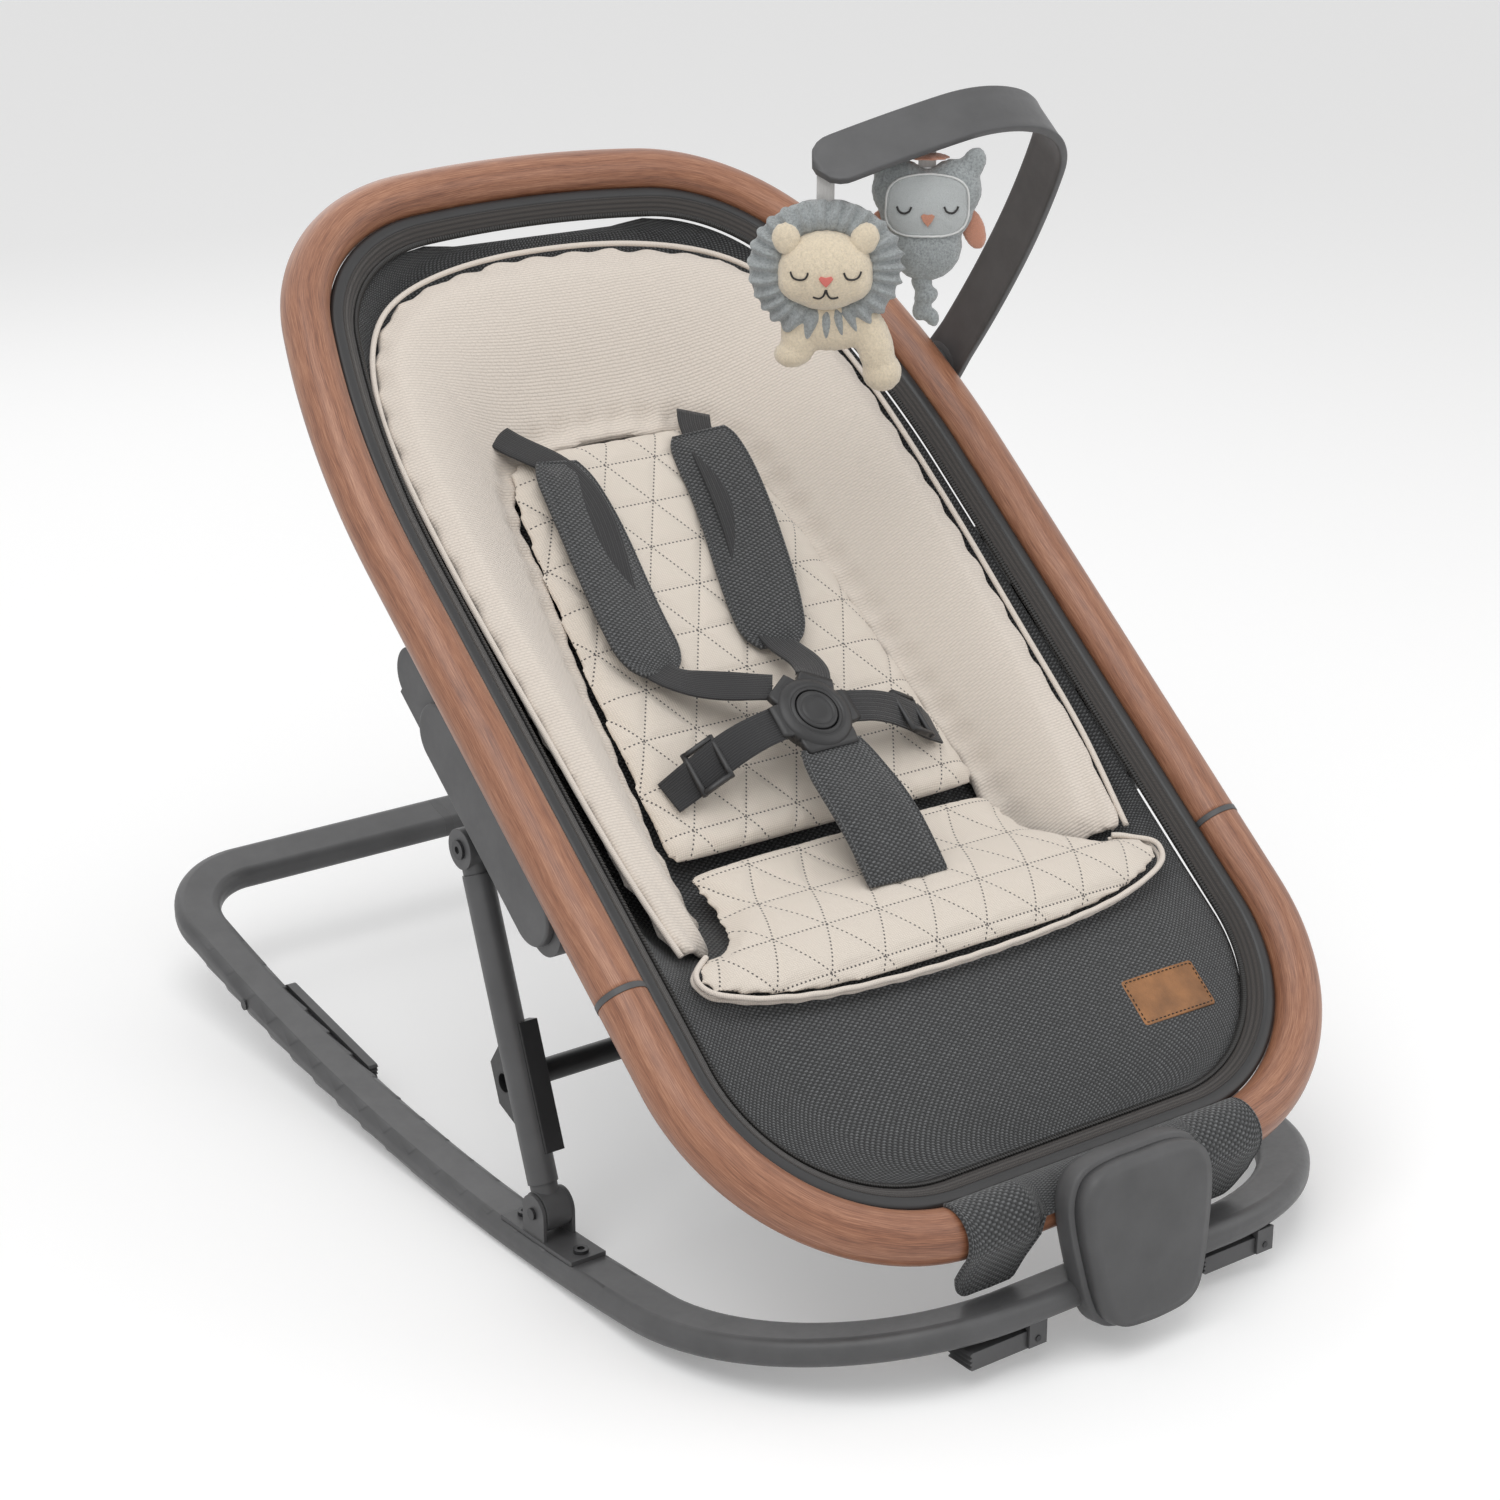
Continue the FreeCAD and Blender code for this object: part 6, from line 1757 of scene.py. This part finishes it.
    def patch(self, name: str, skin: BVHTree, outline: np.ndarray, finish: object, slot: Slot, lift: float = 0.7
              ) -> None:
        """A felt patch laid on the skin inside an outline (right, up)."""
        middle = outline.mean(0)
        rows = []
        for share in (1.0, 0.99, 0.92, 0.8, 0.6, 0.4, 0.2, 0.05):
            spots = middle + (outline - middle) * share
            rise = -0.4 if share == 1.0 else lift
            rows.append([self.on(skin, x, z, rise) for x, z in spots])
        piece = grid_piece(name, np.array(rows), False, True, True)
        dress(piece, slot, self.body, finish=finish)

    def ribbon(self, name: str) -> None:
        """Satin ribbon from the bar down to the toy."""
        high = self.ribbon_top - self.top.z
        z = np.linspace(-6 * MM, high, 14)
        line = np.array(self.top)[None] + z[:, None] * np.array((0, 0, 1.0)) \
            + (np.sin(z / high * 3.0) * 0.8 * MM)[:, None] * np.array(self.front)
        section = rounded_bar(11.5, 1.1, 0.4, 3) * MM
        piece = sweep(name, line, np.tile(np.array(self.right), (14, 1)), np.tile(np.array(self.front), (14, 1)), section)
        dress(piece, Slot.RIBBON, self.body, self.node + "_ribbon")


@dataclass
class Lion(PlushToy):
    """Cream cub with a gathered grey ruff and closed eyes."""

    head_drop: float = -45.0

    def build(self) -> None:
        """Make the body, head, ruff, ears and face."""
        z = self.head_drop
        self.blob("lion_body", (
            ((4, -3, z - 36), (33, 14, 20), 0), ((-17, -2, z - 48), (11, 11, 17), 12), ((33, -1, z - 52), (12, 12, 26), 14),
            ((38, -2, z - 70), (13, 12, 13), 0), ((-21, -2, z - 58), (12, 11, 9), 0)), Slot.CREAM_PLUSH)
        head = self.blob("lion_head", (
            ((0, 7, z - 1), (31, 19, 26), 0), ((-15, 8, z - 7), (16, 14, 15), 0), ((15, 8, z - 7), (16, 14, 15), 0)),
            Slot.CREAM_PLUSH, 0.0016)
        for number, side in enumerate((-1, 1)):
            self.blob(f"lion_ear_{number}", (((side * 25, 12, z + 20), (9.5, 5.5, 11), -side * 24),),
                      Slot.CREAM_PLUSH, 0.0014)
        self.ruff(z)
        skin = self.skin(head)
        for number, side in enumerate((-1, 1)):
            self.cord(f"lion_eye_{number}", skin, [(side * 17 - 5.5, z + 0.5), (side * 17 - 4, z - 3), (side * 17, z - 4.4),
                                                   (side * 17 + 4, z - 3), (side * 17 + 5.5, z + 0.5)], 0.7, DARK_THREAD,
                      Slot.BLACK_PLASTIC)
        self.cord("lion_mouth", skin, [(-8, z - 15.5), (-4.5, z - 16.5), (-1, z - 13.5), (0, z - 10.5), (1, z - 13.5),
                                       (4.5, z - 16.5), (8, z - 15.5)], 0.7, DARK_THREAD, Slot.BLACK_PLASTIC, 40)
        nose = np.array([(0, z - 8.5), (-2.6, z - 6), (-4.6, z - 3.2), (-3.4, z - 1.6), (0, z - 2.4), (3.4, z - 1.6),
                         (4.6, z - 3.2), (2.6, z - 6)])
        self.patch("lion_nose", skin, nose, ROSE_THREAD, Slot.GREY_PLUSH, 0.9)
        self.ribbon("lion_ribbon_strip")

    def ruff(self, z: float) -> None:
        """Gathered ruff: a wavy ring of cloth behind the face."""
        turn = np.linspace(0, 2 * math.pi, 360, endpoint=False)
        rows = []
        for share in np.linspace(0, 1, 12):
            fold = (0.6 + 2.6 * share) * np.sin(turn * 27 + 0.8 * np.sin(turn * 5))
            scallop = 1.6 * share * np.sin(turn * 27 + 0.8 * np.sin(turn * 5) + 1.2)
            radius = 27 + 20.5 * share + scallop + 1.4 * np.sin(turn * 3 + 0.5) * share
            depth = 4.5 + 7.0 * math.sin(math.pi * (0.16 + 0.84 * share)) + fold
            rows.append([np.array(self.at(1.04 * r * math.cos(t), d, z - 1 + 0.94 * r * math.sin(t)))
                         for r, t, d in zip(radius, turn, depth)])
        for share in np.linspace(1, 0, 8)[:-1]:
            radius = 27 + 20.0 * share
            rows.append([np.array(self.at(1.04 * radius * math.cos(t), -1.0 + 3.4 * share * math.sin(t * 27) * 0.4 - 2,
                                          z - 1 + 0.94 * radius * math.sin(t))) for t in turn])
        ring = grid_piece("lion_ruff", np.array(rows), True, True)
        dress(ring, Slot.GREY_PLUSH, self.body, "toy_lion")


@dataclass
class Bird(PlushToy):
    """Grey fledgling with a pale face patch, coral beak and wings, and a knotted tail."""

    def build(self) -> None:
        """Make the body, tufts, face, wings, cap and tail."""
        body = self.blob("bird_body", (
            ((0, 0, -32), (31, 14, 26), 0), ((-17, 0, -20), (19, 11, 20), 0), ((17, 0, -20), (19, 11, 20), 0),
            ((0, 0, -56), (24, 12, 24), 0), ((-30, 0, -3), (8, 6, 11), 22), ((30, 0, -3), (8, 6, 11), -22)),
            Slot.GREY_PLUSH)
        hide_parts("toy_bird")
        skin = self.skin(body)
        turn = np.linspace(0, 2 * math.pi, 64, endpoint=False)
        square = 0.62
        face = np.stack([26.5 * np.sign(np.cos(turn)) * np.abs(np.cos(turn)) ** square,
                         -29 + 19.5 * np.sign(np.sin(turn)) * np.abs(np.sin(turn)) ** square], 1)
        self.patch("bird_face", skin, face, PALE_FELT, Slot.GREY_PLUSH)
        self.cord("bird_face_edge", skin, [tuple(spot) for spot in face[::4]], 0.75, PALE_THREAD, Slot.RIBBON, 120, True, 0.9)
        for number, side in enumerate((-1, 1)):
            middle = side * 15
            self.cord(f"bird_eye_{number}", skin, [(middle - 4.5, -29), (middle - 3, -32), (middle, -33.2),
                                                   (middle + 3, -32), (middle + 4.5, -29)], 0.7, DARK_THREAD,
                      Slot.BLACK_PLASTIC, lift=1.0)
            wing = self.blob(f"bird_wing_{number}", (((side * 31, -3, -46), (8, 3.2, 15), side * 20),), Slot.GREY_PLUSH,
                             0.0014, 0.1)
            wing.data.materials.clear()
            wing.data.materials.append(Finish.named(CORAL_FELT))
        beak = np.array([(0, -41.5), (-3, -38), (-4.4, -34.6), (-2.6, -33.4), (0, -34.2), (2.6, -33.4), (4.4, -34.6), (3, -38)])
        self.patch("bird_beak", skin, beak, CORAL_FELT, Slot.GREY_PLUSH, 1.6)
        self.cap()
        self.blob("bird_tail", (
            ((-2, -1, -80), (7, 6, 8), 0), ((1, -1, -90), (8.5, 7, 6), 20), ((-2, -1, -99), (6, 5, 8), -15),
            ((5, -1, -104), (5, 4.5, 7), 25)), Slot.GREY_PLUSH, 0.0015)
        self.ribbon("bird_ribbon_strip")

    def cap(self) -> None:
        """Small scalloped cap of felt on the head."""
        turn = np.linspace(0, 2 * math.pi, 96, endpoint=False)
        rows = []
        for share, height in ((0.05, 3.4), (0.4, 3.2), (0.8, 2.2), (1.0, 0.9), (1.0, -0.1), (0.8, 1.0), (0.4, 2.0), (0.05, 2.2)):
            radius = 13.5 * share * (1 + 0.07 * np.cos(turn * 9) * (share > 0.7))
            rows.append([np.array(self.at(r * math.cos(t), r * 0.72 * math.sin(t), height + 0.4)) for r, t in zip(radius, turn)])
        piece = grid_piece("bird_cap", np.array(rows), False, True, True)
        dress(piece, Slot.GREY_PLUSH, self.body, finish=CORAL_FELT)


# ---------------------------------------------------------------- carried pieces and studio
def finish_carried() -> None:
    """Give each shown CAD node the finish of its own slot."""
    slots = {row["node"]: row["material_slot"] for row in frame["record"]["subparts"]}
    for name, piece in frame["nodes"].items():
        if piece.hide_render:
            continue
        slot = Slot(slots[name])
        piece.data.materials.clear()
        piece.data.materials.append(Finish.of(slot))
        LOG.info("%s wears %s", name, slot.value)


@dataclass
class Studio:
    """Pale floor, soft light and the camera."""

    target: Vector = field(default_factory=lambda: Vector((-0.0257, -0.0523, 0.2826)))
    azimuth: float = math.radians(-36.3)
    elevation: float = math.radians(20.2)
    distance: float = 2.0437
    lens: float = 73.1
    sky: float = 0.62

    def build(self) -> None:
        """Make the floor, the world, the lights and the camera."""
        self.floor()
        self.world()
        self.light("key_light", (-0.9, -0.7, 2.6), 2.2, 30.0)
        self.light("fill_light", (1.8, -1.6, 1.5), 1.8, 9.0)
        self.light("back_light", (0.4, 2.2, 1.8), 1.8, 8.0)
        self.camera()
        bpy.context.scene.view_settings.view_transform = "Standard"

    def seen(self, tree: Tree) -> bpy.types.NodeSocket:
        """1 for rays from the camera, in a reflection or through glass, and 0 for light."""
        path = tree.add("ShaderNodeLightPath")
        glossy = tree.math("MAXIMUM", path.outputs["Is Glossy Ray"], path.outputs["Is Transmission Ray"])
        return tree.math("MAXIMUM", path.outputs["Is Camera Ray"], glossy)

    def floor(self) -> None:
        """A wide pale floor that shows white and keeps the shadow."""
        tree = Tree("StudioFloor")
        tree.set(Base_Color=(0.86, 0.86, 0.86), Roughness=0.9, Specular_IOR_Level=0.1)
        tree.set(Emission_Color=(1.0, 1.0, 1.0), Emission_Strength=tree.math("MULTIPLY", self.seen(tree), 0.2))
        corners = np.array([(-30, -30, 0), (30, -30, 0), (30, 30, 0), (-30, 30, 0)], float)
        floor = mesh_piece("studio_floor", corners, [(0, 1, 2, 3)])
        floor.data.materials.append(tree.material)

    def world(self) -> None:
        """Even white surroundings: a plain light, and white where they are seen."""
        world = bpy.data.worlds.new("Studio")
        bpy.context.scene.world = world
        world.use_nodes = True
        nodes, links = world.node_tree.nodes, world.node_tree.links
        sky = nodes["Background"]
        path = nodes.new("ShaderNodeLightPath")
        plain, shown = nodes.new("ShaderNodeMath"), nodes.new("ShaderNodeMath")
        plain.operation = shown.operation = "MAXIMUM"
        links.new(path.outputs["Is Glossy Ray"], plain.inputs[0])
        links.new(path.outputs["Is Transmission Ray"], plain.inputs[1])
        links.new(path.outputs["Is Camera Ray"], shown.inputs[0])
        links.new(plain.outputs[0], shown.inputs[1])
        level = nodes.new("ShaderNodeMapRange")
        level.inputs["To Min"].default_value = self.sky
        level.inputs["To Max"].default_value = 1.0
        links.new(shown.outputs[0], level.inputs[0])
        links.new(level.outputs[0], sky.inputs["Strength"])
        sky.inputs["Color"].default_value = (1, 1, 1, 1)

    def light(self, name: str, place: tuple[float, float, float], side: float, power: float) -> None:
        """A square soft light that looks at the object."""
        lamp = bpy.data.lights.new(name, "AREA")
        lamp.size = side
        lamp.energy = power
        piece = bpy.data.objects.new(name, lamp)
        bpy.context.scene.collection.objects.link(piece)
        piece.location = place
        piece.rotation_euler = (self.target - Vector(place)).to_track_quat("-Z", "Y").to_euler()

    def camera(self) -> None:
        """The camera at the seat's left front, a little above it."""
        lens = bpy.data.cameras.new("camera")
        lens.lens = self.lens
        lens.sensor_width = 36.0
        piece = bpy.data.objects.new("camera", lens)
        bpy.context.scene.collection.objects.link(piece)
        back = Vector((math.sin(self.azimuth) * math.cos(self.elevation),
                       -math.cos(self.azimuth) * math.cos(self.elevation), math.sin(self.elevation)))
        piece.location = self.target + back * self.distance
        piece.rotation_euler = (-back).to_track_quat("-Z", "Y").to_euler()
        bpy.context.scene.camera = piece


def main() -> None:
    """Build every sub-assembly, then the studio."""
    logging.basicConfig(level=logging.INFO, format="%(name)s: %(message)s")
    for part in (Hoops(), SeatFabric(), FrontFlap(), Bolster(), BACK_PAD, SEAT_FLAP, FlapPiping(), Harness(), FrontCover(),
                 Label(), ToyBar(), Lion("toy_lion", "lion"), Bird("toy_bird", "bird")):
        part.build()
        LOG.info("%s is made", type(part).__name__)
    finish_carried()
    Studio().build()


if __name__ == "__main__":
    main()
